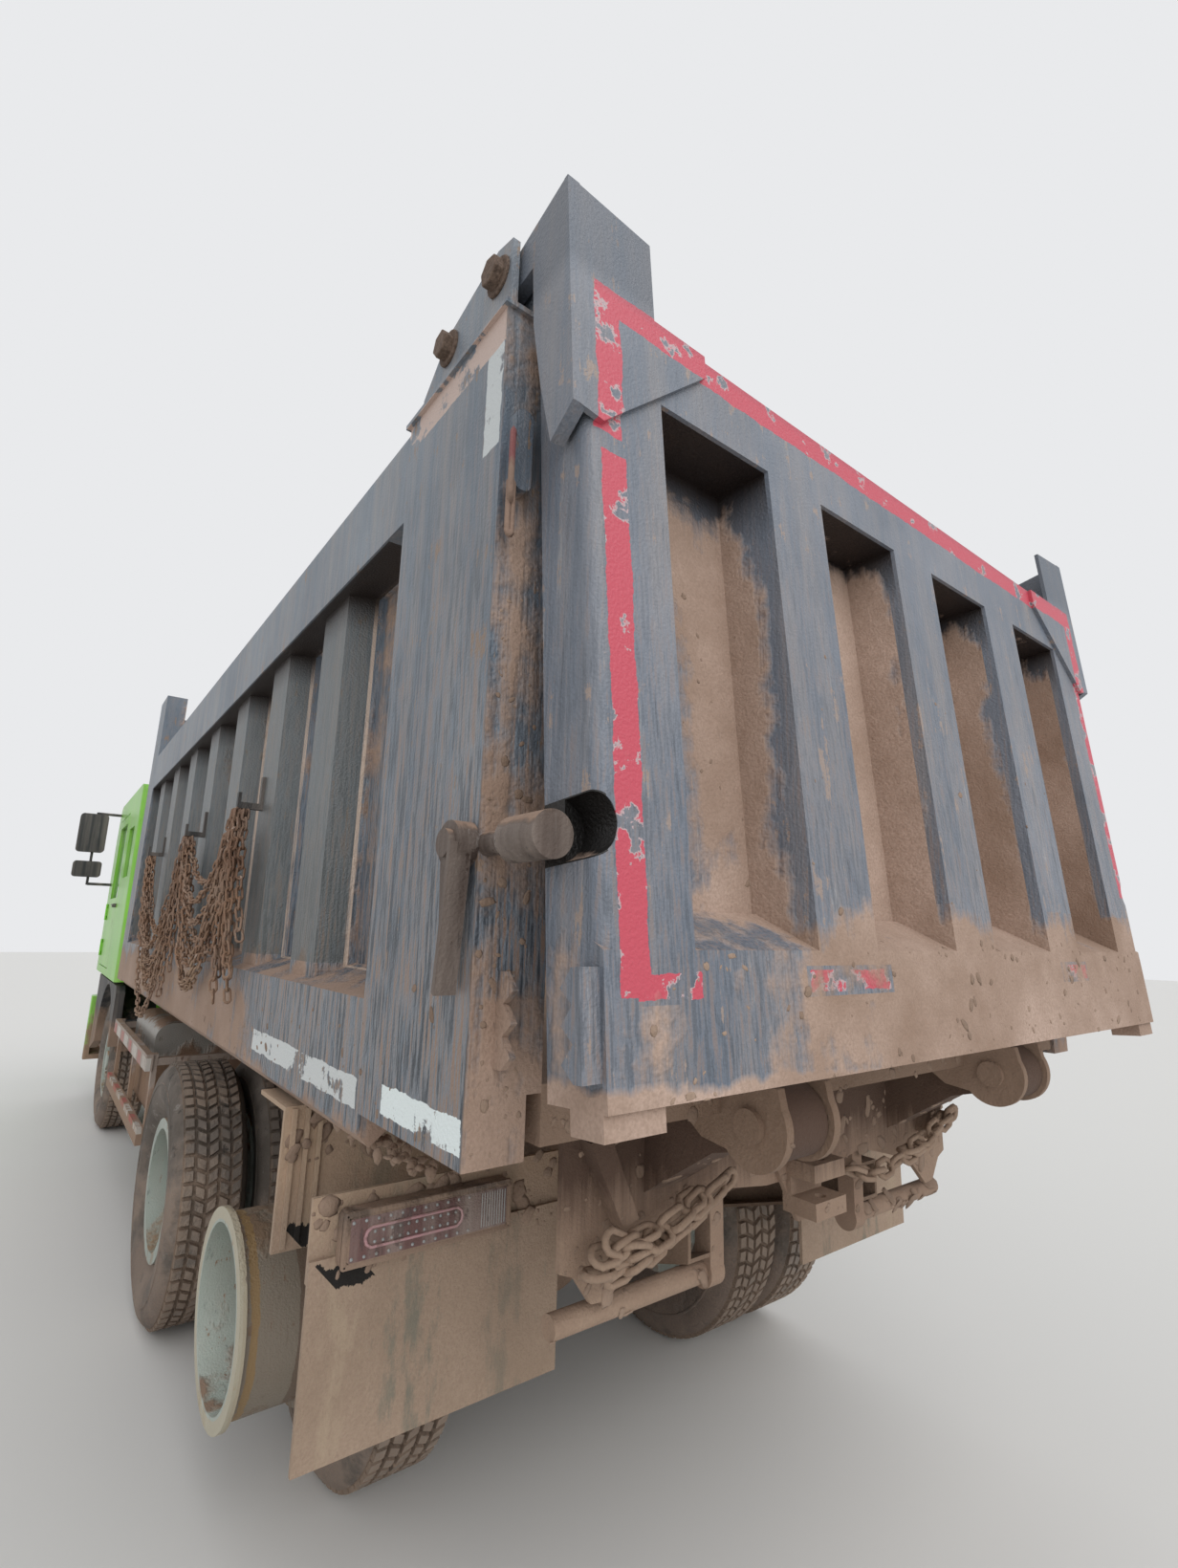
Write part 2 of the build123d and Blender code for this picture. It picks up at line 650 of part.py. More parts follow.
def swing_gate(shape):
    """Turn the shut tailgate about its pin to where it hangs ajar."""
    pivot = Pos(gate_pin_x, 0, gate_pin_z)
    turn = pivot * Rot(0, gate_ajar, 0) * Pos(-gate_pin_x, 0, -gate_pin_z)
    return turn * shape


# Hoist


def hoist_axis():
    """Plane at the lower pin with Z along the cylinder."""
    run = Vector(hoist_eye_x - hoist_low_x, 0, hoist_eye_z - hoist_low_z)
    return Plane(origin=(hoist_low_x, 0, hoist_low_z), x_dir=(0, 1, 0), z_dir=run)


def hoist_length():
    return math.hypot(hoist_eye_x - hoist_low_x, hoist_eye_z - hoist_low_z)


def hoist_tube():
    """Outer tube with the trunnion at its foot."""
    low = Align.MIN
    tube = Cylinder(hoist_radius, 1780, align=(Align.CENTER, Align.CENTER, low))
    bore = Pos(0, 0, 60) * Cylinder(hoist_radius - hoist_wall + running_gap, 1780, align=(Align.CENTER, Align.CENTER, low))
    shape = hoist_axis() * (Pos(0, 0, 45) * (tube - bore))
    foot = bar_y(hoist_low_x, hoist_low_z, -60, 60, 60)
    pin = bar_y(hoist_low_x, hoist_low_z, -140, 140, hoist_pin_radius)
    return fuse([shape, foot, pin])


def hoist_stage(number):
    """Chromed stage inside the one before it, the last with the eye."""
    outer = hoist_radius - number * hoist_wall
    length = 1700
    start = 110 + number * 20
    low = Align.MIN
    tube = Cylinder(outer, length, align=(Align.CENTER, Align.CENTER, low))
    if number < hoist_steps:
        bore = Cylinder(outer - hoist_wall + running_gap, length, align=(Align.CENTER, Align.CENTER, low))
        tube = tube - Pos(0, 0, 15) * bore
        return hoist_axis() * (Pos(0, 0, start) * tube)
    eye_x, eye_z = hoist_eye_x, hoist_eye_z
    run = hoist_length() - start
    shaft = hoist_axis() * (Pos(0, 0, start) * Cylinder(outer, run, align=(Align.CENTER, Align.CENTER, low)))
    eye = bar_y(eye_x, eye_z, -45, 45, 55)
    hole = bar_y(eye_x, eye_z, -60, 60, hoist_pin_radius + 2)
    return (shaft + eye) - hole


def hoist_cradle():
    """Cross member on the frame that carries the trunnion of the hoist."""
    beam = block(hoist_low_x - 110, hoist_low_x + 110, -rail_outer_y + rail_wall, rail_outer_y - rail_wall,
                 rail_top_z - 230, rail_top_z - 130)
    cheek = side_plate([(hoist_low_x - 100, rail_top_z - 131), (hoist_low_x + 100, rail_top_z - 131),
                        (hoist_low_x + 55, hoist_low_z + 50), (hoist_low_x - 55, hoist_low_z + 50)], 100, 130)
    cheek = cheek - bar_y(hoist_low_x, hoist_low_z, 90, 150, hoist_pin_radius + running_gap)
    return fuse([beam, both(cheek)])


# Cab


def cab_body(inset):
    """Cab's outer or inner form: side outline crossed with the plan outline, drawn in by a wall."""
    rear = cab_rear_x + inset
    front = cab_front_x - inset
    low = cab_low_z + inset
    top = cab_top_z - inset
    half = cab_half - inset
    side = [(rear, low), (front - 50, low), (front, low + 150), (front, cab_brow_z), (cab_top_front_x - inset, top),
            (rear, top)]
    plan = [(rear, -half), (front, -half), (front, half), (rear, half)]
    tight = max(cab_corner - inset, 12)
    wide = cab_front_corner - inset
    profile = rounded_prism(side, [0, 0, 0, 0, wide, tight], Plane.XZ, 2 * half, (0, 1, 0))
    profile = Pos(0, -half, 0) * profile
    footprint = rounded_prism(plan, [0.7 * tight, wide, wide, 0.7 * tight], Plane.XY, top - low + 10, (0, 0, 1))
    return profile & (Pos(0, 0, low - 5) * footprint)


def door_outline(gap):
    """Door opening or, with a gap, the door's own outline."""
    return [(door_rear_x + gap, door_low_z + gap), (door_front_x - gap, door_low_z + gap),
            (door_front_x - gap, belt_z + 40), (door_front_x - 70 - gap, door_top_z - gap),
            (door_rear_x + gap, door_top_z - gap)]


def door_window(gap):
    return [(door_rear_x + 90 + gap, belt_z + gap), (door_front_x - 90 - gap, belt_z + gap),
            (door_front_x - 140 - gap, door_top_z - 90 - gap), (door_rear_x + 90 + gap, door_top_z - 90 - gap)]


def cab_shell():
    """Hollow cab with its door openings, windscreen, rear and side windows cut."""
    shell = cab_body(0) - cab_body(cab_wall)
    shell = shell - side_plate(door_outline(0), -cab_half - 5, cab_half + 5)
    screen = block(cab_front_x - 330, cab_front_x + 60, -1060, 1060, 2010, 2780)
    rear_window = block(cab_rear_x - 5, cab_rear_x + cab_wall + 5, -420, 420, 2250, 2600)
    side_window = block(cab_rear_x + 250, cab_rear_x + 640, -cab_half - 5, cab_half + 5, 2150, 2600)
    tunnel = block(cab_rear_x - 5, cab_front_x - 300, -360, 360, cab_low_z - 5, cab_low_z + cab_wall + 5)
    return shell - screen - rear_window - side_window - tunnel


def cab_floor_hump():
    """Engine cover inside the cab."""
    cover = block(cab_rear_x + cab_wall, cab_front_x - 310, -370, 370, cab_low_z + 2, 1560)
    return cover - block(cab_rear_x + cab_wall - 5, cab_front_x - 330, -345, 345, cab_low_z - 5, 1535)


def cab_lugs():
    """Lugs and pins under the cab's front that it tilts on."""
    lug = block(cab_hinge_x - 40, cab_hinge_x + 40, 440, 480, cab_hinge_z - 40, cab_low_z + 1)
    pin = bar_y(cab_hinge_x, cab_hinge_z, 340, 480, cab_pin_radius)
    return both(lug + pin)


def upright(x, y, z0, z1, radius):
    """Round bar standing up."""
    return Pos(x, y, (z0 + z1) / 2) * Cylinder(radius, z1 - z0)


def door_hinge_half(z, on_door):
    """The door's or the pillar's half of one door hinge, with its middle at a height."""
    reach = door_hinge_length / 2
    if on_door:
        leaf = block(door_hinge_x - 60, door_hinge_x, cab_half, cab_half + 6, z - reach / 2, z + reach / 2)
        barrel = upright(door_hinge_x, door_hinge_y, z - reach / 2, z + reach / 2, door_hinge_radius)
        bore = upright(door_hinge_x, door_hinge_y, z - reach, z + reach, door_hinge_pin + running_gap)
        return (leaf + barrel) - bore
    pieces = [upright(door_hinge_x, door_hinge_y, z - reach, z + reach, door_hinge_pin)]
    for low, high in ((z - reach, z - reach / 2 - running_gap), (z + reach / 2 + running_gap, z + reach)):
        pieces.append(upright(door_hinge_x, door_hinge_y, low, high, door_hinge_radius))
        pieces.append(block(door_hinge_x, door_hinge_x + 60, cab_half, cab_half + 6, low, high))
    return fuse(pieces)


def door_hinge_halves(on_door):
    return [door_hinge_half(z, on_door) for z in (1500, 1850)]


def door():
    """Left door with its window frame, one wall thick."""
    panel = side_plate(door_outline(door_gap), cab_half - cab_wall, cab_half)
    panel = panel - side_plate(door_window(0), cab_half - cab_wall - 5, cab_half + 5)
    handle = bar_x(cab_half + 24, 1900, door_rear_x + 60, door_rear_x + 190, 10)
    feet = [block(x - 7, x + 7, cab_half - 1, cab_half + 20, 1893, 1907) for x in (door_rear_x + 70, door_rear_x + 180)]
    return fuse([panel, handle] + feet + door_hinge_halves(True))


def door_glass():
    return side_plate(door_window(0.3), cab_half - 30, cab_half - 24)


def cab_glass():
    """Windscreen, rear window and the two small side windows."""
    slope = math.atan2(cab_front_x - cab_top_front_x, cab_top_z - cab_brow_z)
    middle_z = 2395
    middle_x = cab_front_x - (middle_z - cab_brow_z) * math.tan(slope) - cab_wall / 2
    screen = Pos(middle_x, 0, middle_z) * Rot(0, -math.degrees(slope), 0) * Box(8, 2200, 900)
    screen = screen & block(cab_front_x - 330, cab_front_x + 60, -1059.7, 1059.7, 2010.3, 2779.7)
    rear = block(cab_rear_x + 20, cab_rear_x + 26, -419.7, 419.7, 2250.3, 2599.7)
    side = block(cab_rear_x + 250.3, cab_rear_x + 639.7, cab_half - 30, cab_half - 24, 2150.3, 2599.7)
    return [screen, rear, side, other_side(side)]


def visor():
    """Dark roof deflector."""
    x = cab_front_x - 950
    outline = [(x, cab_top_z), (x + 550, cab_top_z), (x + 510, 3060), (x + 350, 3110), (x, 3085)]
    return side_plate(outline, -1100, 1100)


def grille():
    """Front panel between the windscreen and the bumper: a frame with tilted slats."""
    back = cab_front_x
    front = back + 30
    panel = block(back, front, -900, 900, 1420, 1880) - block(back + 6, front + 1, -850, 850, 1450, 1850)
    slats = []
    for count in range(4):
        low = 1470 + count * 96
        slats.append(side_plate([(back + 5, low), (front, low + 22), (front, low + 46), (back + 5, low + 60)], -851, 851))
    return fuse([panel] + slats)


def seats():
    """Driver's and passenger's seats on their pedestals."""
    base = cab_low_z + cab_wall
    x = cab_rear_x + 880
    low, high = wheel_y - 240, wheel_y + 240
    cushion = soft_block(x, x + 500, low, high, 1700, 1830, Axis.Y, 40)
    back = side_plate([(x + 10, 1800), (x + 130, 1800), (x, 2330), (x - 100, 2330)], low, high)
    head = soft_block(x - 130, x - 30, wheel_y - 100, wheel_y + 100, 2310, 2460, Axis.Y, 25)
    pedestal = block(x + 80, x + 380, wheel_y - 160, wheel_y + 160, base, 1701)
    return both(fuse([pedestal, cushion, back, head]))


def dashboard():
    """Dashboard with the steering column and wheel."""
    x = cab_front_x
    wall_x = x - cab_wall
    half = cab_half - cab_front_corner - 5
    board = side_plate([(x - 320, 1560), (wall_x, 1560), (wall_x, 1900), (x - 180, 2000), (x - 360, 1900)], -half, half)
    foot = (x - 250, wheel_y, 1800)
    hub_place = (x - 560, wheel_y, 2060)
    column = rod(foot, hub_place, 28)
    plane = Plane(origin=hub_place, z_dir=(-310, 0, 260))
    rim_ring = RegularPolygon(215, 16) - RegularPolygon(190, 16)
    ring_solid = plane * extrude(rim_ring, amount=24)
    spokes = plane * (Pos(0, 0, 12) * Box(400, 40, 12) + Pos(0, 0, 6) * Cylinder(50, 24))
    return fuse([board, column, ring_solid, spokes])


def mirrors():
    """Main and wide-angle mirrors on their arms, one set each side."""
    back, front = cab_front_x - 350, cab_front_x - 270
    inner, outer = cab_half + 110, cab_half + 355
    main = soft_block(back, front, inner, outer, 2455, 2850, Axis.X, 35)
    wide = soft_block(back, front, inner, outer, 2200, 2360, Axis.X, 30)
    x = (back + front) / 2
    y = cab_half + 210
    arms = [rod((x, cab_half, 2860), (x, y, 2860), 14), rod((x, y, 2870), (x, y, 2120), 12),
            rod((x, y, 2130), (x, cab_half, 2130), 14)]
    return both(fuse([main, wide] + arms))


# Pieces on the chassis


def bumper():
    """Front bumper with rounded corners, air slots and lamp pockets, on two brackets."""
    front = bumper_front_x
    rear = front - bumper_depth
    wall = bumper_wall
    half = cab_half
    outer = [(rear, -half), (front, -half), (front, half), (rear, half)]
    inner = [(rear - 60, wall - half), (front - wall, wall - half), (front - wall, half - wall), (rear - 60, half - wall)]
    height = bumper_top_z - bumper_low_z
    shell = rounded_prism(outer, [10, 150, 150, 10], Plane.XY, height, (0, 0, 1))
    hollow = rounded_prism(inner, [10, 150 - wall, 150 - wall, 10], Plane.XY, height, (0, 0, 1))
    shape = Pos(0, 0, bumper_low_z) * (shell - Pos(0, 0, wall) * hollow)
    pocket = block(front - wall - 25, front + 1, *lamp_y, *lamp_z)
    slots = [block(front - wall - 1, front + 1, -560, 560, z, z + 50) for z in (470, 560, 760, 850)]
    legs = block(frame_front_x, front - wall + 1, rail_outer_y - rail_flange, rail_outer_y, 800, 1000)
    return fuse([shape - both(pocket) - fuse(slots), both(legs)])


def headlamps():
    """Headlamps set in the bumper: a case with two round reflectors sunk in its face."""
    gap = running_gap
    back = bumper_front_x - 60
    face = bumper_front_x - 8
    case = block(back, face, lamp_y[0] + gap, lamp_y[1] - gap, lamp_z[0] + gap, lamp_z[1] - gap)
    middle_z = sum(lamp_z) / 2
    for y in (lamp_y[0] + 95, lamp_y[1] - 95):
        case = case - bar_x(y, middle_z, face - 22, face + 1, 72)
    return both(case)


def front_fenders():
    """Mudguard over each front wheel, its side panel, the steps and the stays to the frame."""
    x = front_axle_x
    inner, outer = cab_half - 90, cab_half - 25
    outline = [(x - 700, 760), (x + 420, 700), (x + 1060, 520), (x + 1060, 1235), (x - 640, 1235), (x - 700, 1180)]
    panel = side_plate(outline, inner, outer)
    panel = panel - bar_y(x, axle_z, 1100, 1300, arch_radius) - block(x - 600, x + 600, 1100, 1300, 400, axle_z)
    guard = bar_y(x, axle_z, 880, inner + 10, arch_radius + 14) - bar_y(x, axle_z, 870, inner + 20, arch_radius)
    guard = guard & block(x - 700, x + 700, 800, 1300, axle_z + 160, 1400)
    steps = [block(x + 700, x + 1050, 1000, inner + 1, z, z + 30) for z in (560, 860)]
    crown_z = axle_z + arch_radius
    stays = [block(x + 700, x + 730, rail_outer_y, inner + 1, 830, 890),
             block(x - 690, x - 660, rail_outer_y, inner + 1, 900, 960),
             block(x - 18, x + 18, rail_outer_y, 890, crown_z + 5, crown_z + 23),
             block(x - 18, x + 18, rail_outer_y, 450, 990, crown_z + 23)]
    return both(fuse([panel, guard] + steps + stays))


def fuel_tank():
    """Fuel tank on the left with its two brackets."""
    rear, front = guard_rear_x + 480, guard_front_x - 420
    outer = tank_outer_y
    tank = block(rear, front, outer - 570, outer, 560, 1130)
    tank = fillet(tank.edges().filter_by(Axis.X), 90)
    brackets = [block(x - 30, x + 30, rail_outer_y, outer - 40, 520, 560) + block(x - 30, x + 30, rail_outer_y,
                rail_outer_y + 25, 520, 1040) for x in (rear + 200, front - 200)]
    return fuse([tank] + brackets)


def battery_box():
    """Battery box and air tanks on the right."""
    rear, front = gearbox_rear_x - 800, gearbox_rear_x - 220
    tank_rear = guard_rear_x + 200
    tank_front = rear - 60
    case = block(rear, front, -1100, -560, 600, 1000)
    bracket = [block(x - 30, x + 30, -561, -rail_outer_y, 700, 900) for x in (rear + 100, front - 100)]
    tanks = [bar_x(y, 760, tank_rear, tank_front, 125) for y in (-700, -980)]
    strap = [block(x - 20, x + 20, -1105, -rail_outer_y, 875, 899) for x in (tank_rear + 100, tank_front - 100)]
    return fuse([case] + bracket + tanks + strap)


def side_guards():
    """Two-rail guards between the front wheel and the first drive axle."""
    rear, front = guard_rear_x, guard_front_x
    inner = guard_inner_y
    pieces = []
    for z in (540, 930):
        pieces.append(block(rear, front, inner, inner + 35, z, z + 90))
    for x in (rear + 40, (rear + front) / 2 - 50, front - 40):
        pieces.append(block(x - 25, x + 25, inner - 25, inner, 540, 1020))
    for x in (rear + 40, front - 40):
        pieces.append(block(x - 20, x + 20, rail_outer_y, inner - 24, 955, 995))
    return fuse(pieces)


def engine():
    """Engine and gearbox as one plain block."""
    rear = front_axle_x - 431
    motor = block(rear, rear + 1150, -330, 330, 640, 1480)
    box = block(gearbox_rear_x, rear + 1, -180, 180, 520, 820)
    feet = [block(x - 50, x + 50, 329, rail_outer_y - rail_wall, 830, 890) for x in (rear + 350, rear + 900)]
    return fuse([motor, box, both(fuse(feet))])


def driveline():
    """Propeller shafts from the gearbox to the two drive axles."""
    first = rear_axle_x + axle_pitch
    shafts = []
    for start, end, start_z in ((gearbox_rear_x, first + nose_length, 670),
                                (first - bowl_depth, rear_axle_x + nose_length, axle_z + 60)):
        shaft = rod((start - 10, 0, start_z), (end + 10, 0, axle_z + 60), 48)
        shaft = shaft + bar_x(0, start_z, start - 20, start, 66)
        shafts.append(shaft + bar_x(0, axle_z + 60, end, end + 20, 66))
    return shafts


def radiator():
    return block(cab_front_x - 580, cab_front_x - 480, -rail_outer_y + rail_flange, rail_outer_y - rail_flange, 620, 1220)


def cab_mounts():
    """Front cab hinges and the rear cab rest."""
    hinge = block(cab_hinge_x - 120, cab_hinge_x - 40, 350, 430, rail_top_z, cab_hinge_z + 60)
    hinge = hinge + block(cab_hinge_x - 60, cab_hinge_x + 60, 350, 430, cab_hinge_z - 60, cab_hinge_z + 60)
    hinge = hinge - bar_y(cab_hinge_x, cab_hinge_z, 300, 500, cab_pin_radius + running_gap)
    x = cab_rear_x + 50
    rest = block(x - 30, x + 30, -460, 460, 1200, cab_low_z - running_gap)
    legs = block(x - 30, x + 30, 380, 430, rail_top_z, 1201)
    return [both(hinge), rest + both(legs)]


def exhaust():
    """Silencer on the right of the frame."""
    x = gearbox_rear_x
    body = bar_x(-760, 720, x, x + 550, 140)
    strap = block(x + 250, x + 300, -760, -rail_outer_y, 700, 760)
    pipe = bar_x(-760, 720, x + 550, x + 620, 50)
    return fuse([body, strap, pipe])


def mud_flaps():
    """Rubber flaps behind the rear wheels, the guard plates over them and their carriers."""
    edge = body_half
    flap = block(690, 702, 552, edge - 2, 590, 1010)
    carrier = block(702, 714, 552, edge - 2, 960, 1140)
    arm = block(714, 760, rail_outer_y, edge - 50, 985, 1045)
    guard = block(985, 1000, 545, edge, 930, 1285)
    crown = side_plate([(985, 1273), (1000, 1285), (1240, 1285), (1240, 1273)], 545, edge)
    beads = [block(973, 986, y, y + 12, 940, 1280) for y in (edge - 100, edge - 65, edge - 30)]
    stay = block(985, 1040, rail_outer_y, 546, 970, 1020)
    link = block(759, 986, 700, 740, 1000, 1030)
    return both(fuse([flap, carrier, arm, guard, crown, stay, link] + beads))


def rear_lamps():
    """Long tail lamps with a rounded outline and a raised lens, on the flap carriers."""
    outer = body_half - 60
    case = soft_block(660, 690, outer - 450, outer, 990, 1112, Axis.X, 16)
    lens = soft_block(648, 661, outer - 438, outer - 12, 1002, 1100, Axis.X, 12)
    return both(case + lens)


# Pieces on the body


def chain_hooks():
    """Hooks on the ribs of the left side that the chains hang from."""
    face = body_half - side_depth + rib_depth
    pieces = []
    for x in hook_x:
        stem = block(x - 12, x + 12, face, face + 12, hook_z, hook_z + 130)
        arm = block(x - 12, x + 12, face, face + hook_reach, hook_z, hook_z + 24)
        tip = block(x - 12, x + 12, face + hook_reach - 12, face + hook_reach, hook_z, hook_z + 60)
        pieces.append(fuse([stem, arm, tip]))
    return pieces


def link_between(start, end, side, wire, width):
    """One chain link between two joints of the chain, its width along the given direction."""
    path = Vector(*end) - Vector(*start)
    plane = Plane(origin=(Vector(*start) + Vector(*end)) * 0.5, x_dir=path, z_dir=path.cross(side))
    reach = path.length / 2 + wire - 0.3
    half = width / 2
    outer = Polygon((-reach, -half / 2), (half / 2 - reach, -half), (reach - half / 2, -half), (reach, -half / 2),
                    (reach, half / 2), (reach - half / 2, half), (half / 2 - reach, half), (-reach, half / 2), align=None)
    inner = Rectangle(2 * (reach - wire), width - 2 * wire)
    return plane * extrude(outer - inner, amount=wire / 2, both=True)


def chain_points(corners, pitch):
    """Joints of a chain, one link apart along straight runs between the corners."""
    joints = [Vector(*corners[0])]
    for corner in corners[1:]:
        run = Vector(*corner) - joints[-1]
        count = max(1, round(run.length / pitch))
        step = run.normalized() * pitch
        for _ in range(count):
            joints.append(joints[-1] + step)
    return [tuple(joint) for joint in joints]


def chain(corners, normal, pitch, wire, width):
    """Links along a route in a plane, each turned a quarter from the one before."""
    joints = chain_points(corners, pitch)
    links = []
    for number, (start, end) in enumerate(zip(joints, joints[1:])):
        path = Vector(*end) - Vector(*start)
        side = normal if number % 2 else path.cross(normal)
        links.append(link_between(start, end, side, wire, width))
    return fuse(links)


def tow_chain():
    """Heavy chain lying over the left gusset to the hinge arm, and from the jaw to the right wing."""
    x = frame_rear_x - rear_plate_wall - brace_depth - tow_link_width / 2 - running_gap
    size = (tow_link_pitch, tow_link_wire, tow_link_width)
    left = chain([(x, 815, 1055), (x, 700, 1070), (x, 515, 1110), (x, 330, 1185)], Vector(1, 0, 0), *size)
    loop = chain([(x, 800, 1125), (x, 690, 1135), (x, 600, 1090)], Vector(1, 0, 0), *size)
    right = chain([(x, -140, 1100), (x, -380, 1085), (x, -620, 1135), (x, -800, 1190)], Vector(1, 0, 0), *size)
    return [left + loop, right]


def side_chains():
    """Bundle of chains draped from the hooks over the left side."""
    y = body_half + side_link_width / 2 + running_gap
    top = hook_z - side_link_wire
    size = (side_link_pitch, side_link_wire, side_link_width)
    near, mid, far = hook_x
    routes = [
        [(near, top), (near, top - 100), (near - 100, 1750), (near - 60, 1480)],
        [(near - 10, top - 110), (2080, 1720), (2480, 1430), (mid - 60, 1960)],
        [(mid, top), (mid, top - 100), (3000, 1500), (3180, 1210), (3600, 1400), (far - 60, 1960)],
        [(far, top), (far, top - 100), (3900, 1560), (3450, 1580), (mid + 60, 1960)],
    ]
    strands = [chain([(x, y, z) for x, z in route], Vector(0, 1, 0), *size) for route in routes]
    return fuse(strands)


def lock_levers():
    """Gate lock lever outside each rear post and the lock rod behind it."""
    face = body_half
    boss = bar_y(lock_boss_x, lock_z, face, face + 40, 42)
    cap = bar_y(lock_boss_x, lock_z, face + 40, face + 52, 26)
    lever = side_plate([(lock_boss_x - 38, lock_z), (lock_boss_x + 38, lock_z), (lock_boss_x + 18, 1660),
                        (lock_boss_x - 8, 1650)], face + 12, face + 36)
    edge = side_plate([(lock_boss_x - 38, lock_z), (lock_boss_x - 26, lock_z), (lock_boss_x + 2, 1655),
                       (lock_boss_x - 8, 1650)], face + 30, face + 54)
    rod_part = bar_x(lock_rod_y, lock_z, -95, 0, 22) + bar_x(lock_rod_y, lock_z, -205, -90, 40)
    return [both(fuse([boss, cap, lever, edge])), both(rod_part)]


def build():
    write("frame", frame())
    write("rear_cross_member", rear_plate())
    write("rear_axles", [rear_axle(rear_axle_x), rear_axle(rear_axle_x + axle_pitch)])
    write("rear_springs", rear_springs())
    write("front_axle", front_axle())
    write("front_springs", front_springs())
    write("engine", engine())
    write("driveline", driveline())
    write("radiator", radiator())
    write("cab_mounts", cab_mounts())
    write("hoist_cradle", hoist_cradle())
    write("bumper", bumper())
    write("headlamps", headlamps())
    write("front_fenders", front_fenders())
    write("fuel_tank", fuel_tank())
    write("battery_box", battery_box())
    write("exhaust", exhaust())
    write("side_guard_left", side_guards())
    write("side_guard_right", other_side(side_guards()))
    write("mud_flaps", mud_flaps())
    write("rear_lamps", rear_lamps())
    write("tow_chain", tow_chain())
    write("knuckle_left", knuckle())
    write("knuckle_right", other_side(knuckle()))

    sides = (("left", 1), ("right", -1))
    for name, side in sides:
        wheel = front_wheel(front_axle_x)
        write(f"front_wheel_{name}", wheel if side > 0 else other_side(wheel))
        write(f"front_tyre_{name}", tyre(front_axle_x, side * front_wheel_y))
    for row, x in (("first", rear_axle_x + axle_pitch), ("second", rear_axle_x)):
        for name, side in sides:
            pair = rear_wheel_pair(x)
            write(f"{row}_rear_wheels_{name}", pair if side > 0 else other_side(pair))
            tyres = [tyre(x, side * (dual_outer_y - dual_pitch))]
            if (row, name) != ("second", "left"):
                tyres.append(tyre(x, side * dual_outer_y))
            write(f"{row}_rear_tyres_{name}", tyres)

    write("bed_floor", bed_floor())
    write("bed_side_left", bed_side())
    write("bed_side_right", other_side(bed_side()))
    write("bed_front", bed_front())
    write("chain_hooks", chain_hooks())
    write("side_chains", side_chains())
    write("lock_levers", lock_levers())
    write("tailgate", swing_gate(gate()))

    write("hoist_tube", hoist_tube())
    for number in range(1, hoist_steps + 1):
        write(f"hoist_stage_{number}", hoist_stage(number))

    write("cab_shell", fuse([cab_shell(), cab_floor_hump(), cab_lugs(), both(fuse(door_hinge_halves(False)))]))
    write("cab_glass", cab_glass())
    write("visor", visor())
    write("grille", grille())
    write("seats", seats())
    write("dashboard", dashboard())
    write("mirrors", mirrors())
    write("door_left", door())
    write("door_right", other_side(door()))
    write("door_glass_left", door_glass())
    write("door_glass_right", other_side(door_glass()))


build()
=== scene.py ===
import math
import random

import bpy
from mathutils import Euler, Matrix, Vector


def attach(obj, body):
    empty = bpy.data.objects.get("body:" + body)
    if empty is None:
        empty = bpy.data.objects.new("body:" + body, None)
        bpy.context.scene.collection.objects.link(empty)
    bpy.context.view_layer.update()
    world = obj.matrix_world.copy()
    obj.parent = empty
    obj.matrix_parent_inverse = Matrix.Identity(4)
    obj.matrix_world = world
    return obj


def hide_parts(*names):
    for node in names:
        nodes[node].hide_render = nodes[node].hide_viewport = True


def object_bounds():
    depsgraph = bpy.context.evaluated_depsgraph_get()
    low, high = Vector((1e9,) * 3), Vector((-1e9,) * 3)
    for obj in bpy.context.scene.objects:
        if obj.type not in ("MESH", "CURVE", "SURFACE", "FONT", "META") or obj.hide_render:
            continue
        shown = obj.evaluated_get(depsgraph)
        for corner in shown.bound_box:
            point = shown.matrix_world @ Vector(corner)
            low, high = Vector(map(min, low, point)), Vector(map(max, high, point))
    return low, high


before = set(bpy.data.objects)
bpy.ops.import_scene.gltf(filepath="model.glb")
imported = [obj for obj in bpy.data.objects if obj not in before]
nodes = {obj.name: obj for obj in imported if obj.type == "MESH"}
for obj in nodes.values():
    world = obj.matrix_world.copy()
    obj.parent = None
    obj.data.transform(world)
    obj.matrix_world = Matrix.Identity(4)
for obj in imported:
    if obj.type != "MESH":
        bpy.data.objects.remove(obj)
cad_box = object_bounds()


# Camera
# A wide lens held at eye height close to the rear left corner, looking forward and to the right
# and a little up, which makes the corner post and the gate tower over everything else.

lens_mm = 16.39
stand = (-5.121, 1.863, 1.762)
turn_right, look_up, tilt = 0.6514, 0.2045, 0.0235

eye = bpy.data.objects.new("camera", bpy.data.cameras.new("camera"))
bpy.context.scene.collection.objects.link(eye)
eye.data.lens = lens_mm
eye.data.sensor_width = 36
eye.matrix_world = (Matrix.Translation(stand) @ Matrix.Rotation(-math.pi / 2 - turn_right, 4, "Z")
                    @ Matrix.Rotation(math.pi / 2 + look_up, 4, "X") @ Matrix.Rotation(tilt, 4, "Z"))
eye.data.clip_end = 200
bpy.context.scene.camera = eye


# Studio
# A pale floor under a dull bright sky, as on an overcast day: most of the light comes from all
# round, one broad soft lamp from behind the camera gives the ribs their shape, and a low faint
# one reaches the steel under the body.

def linear(code):
    """Colour written as a hex code, turned to linear light."""
    parts = [int(code[i:i + 2], 16) / 255 for i in (1, 3, 5)]
    return tuple(c / 12.92 if c <= 0.04045 else ((c + 0.055) / 1.055) ** 2.4 for c in parts) + (1.0,)


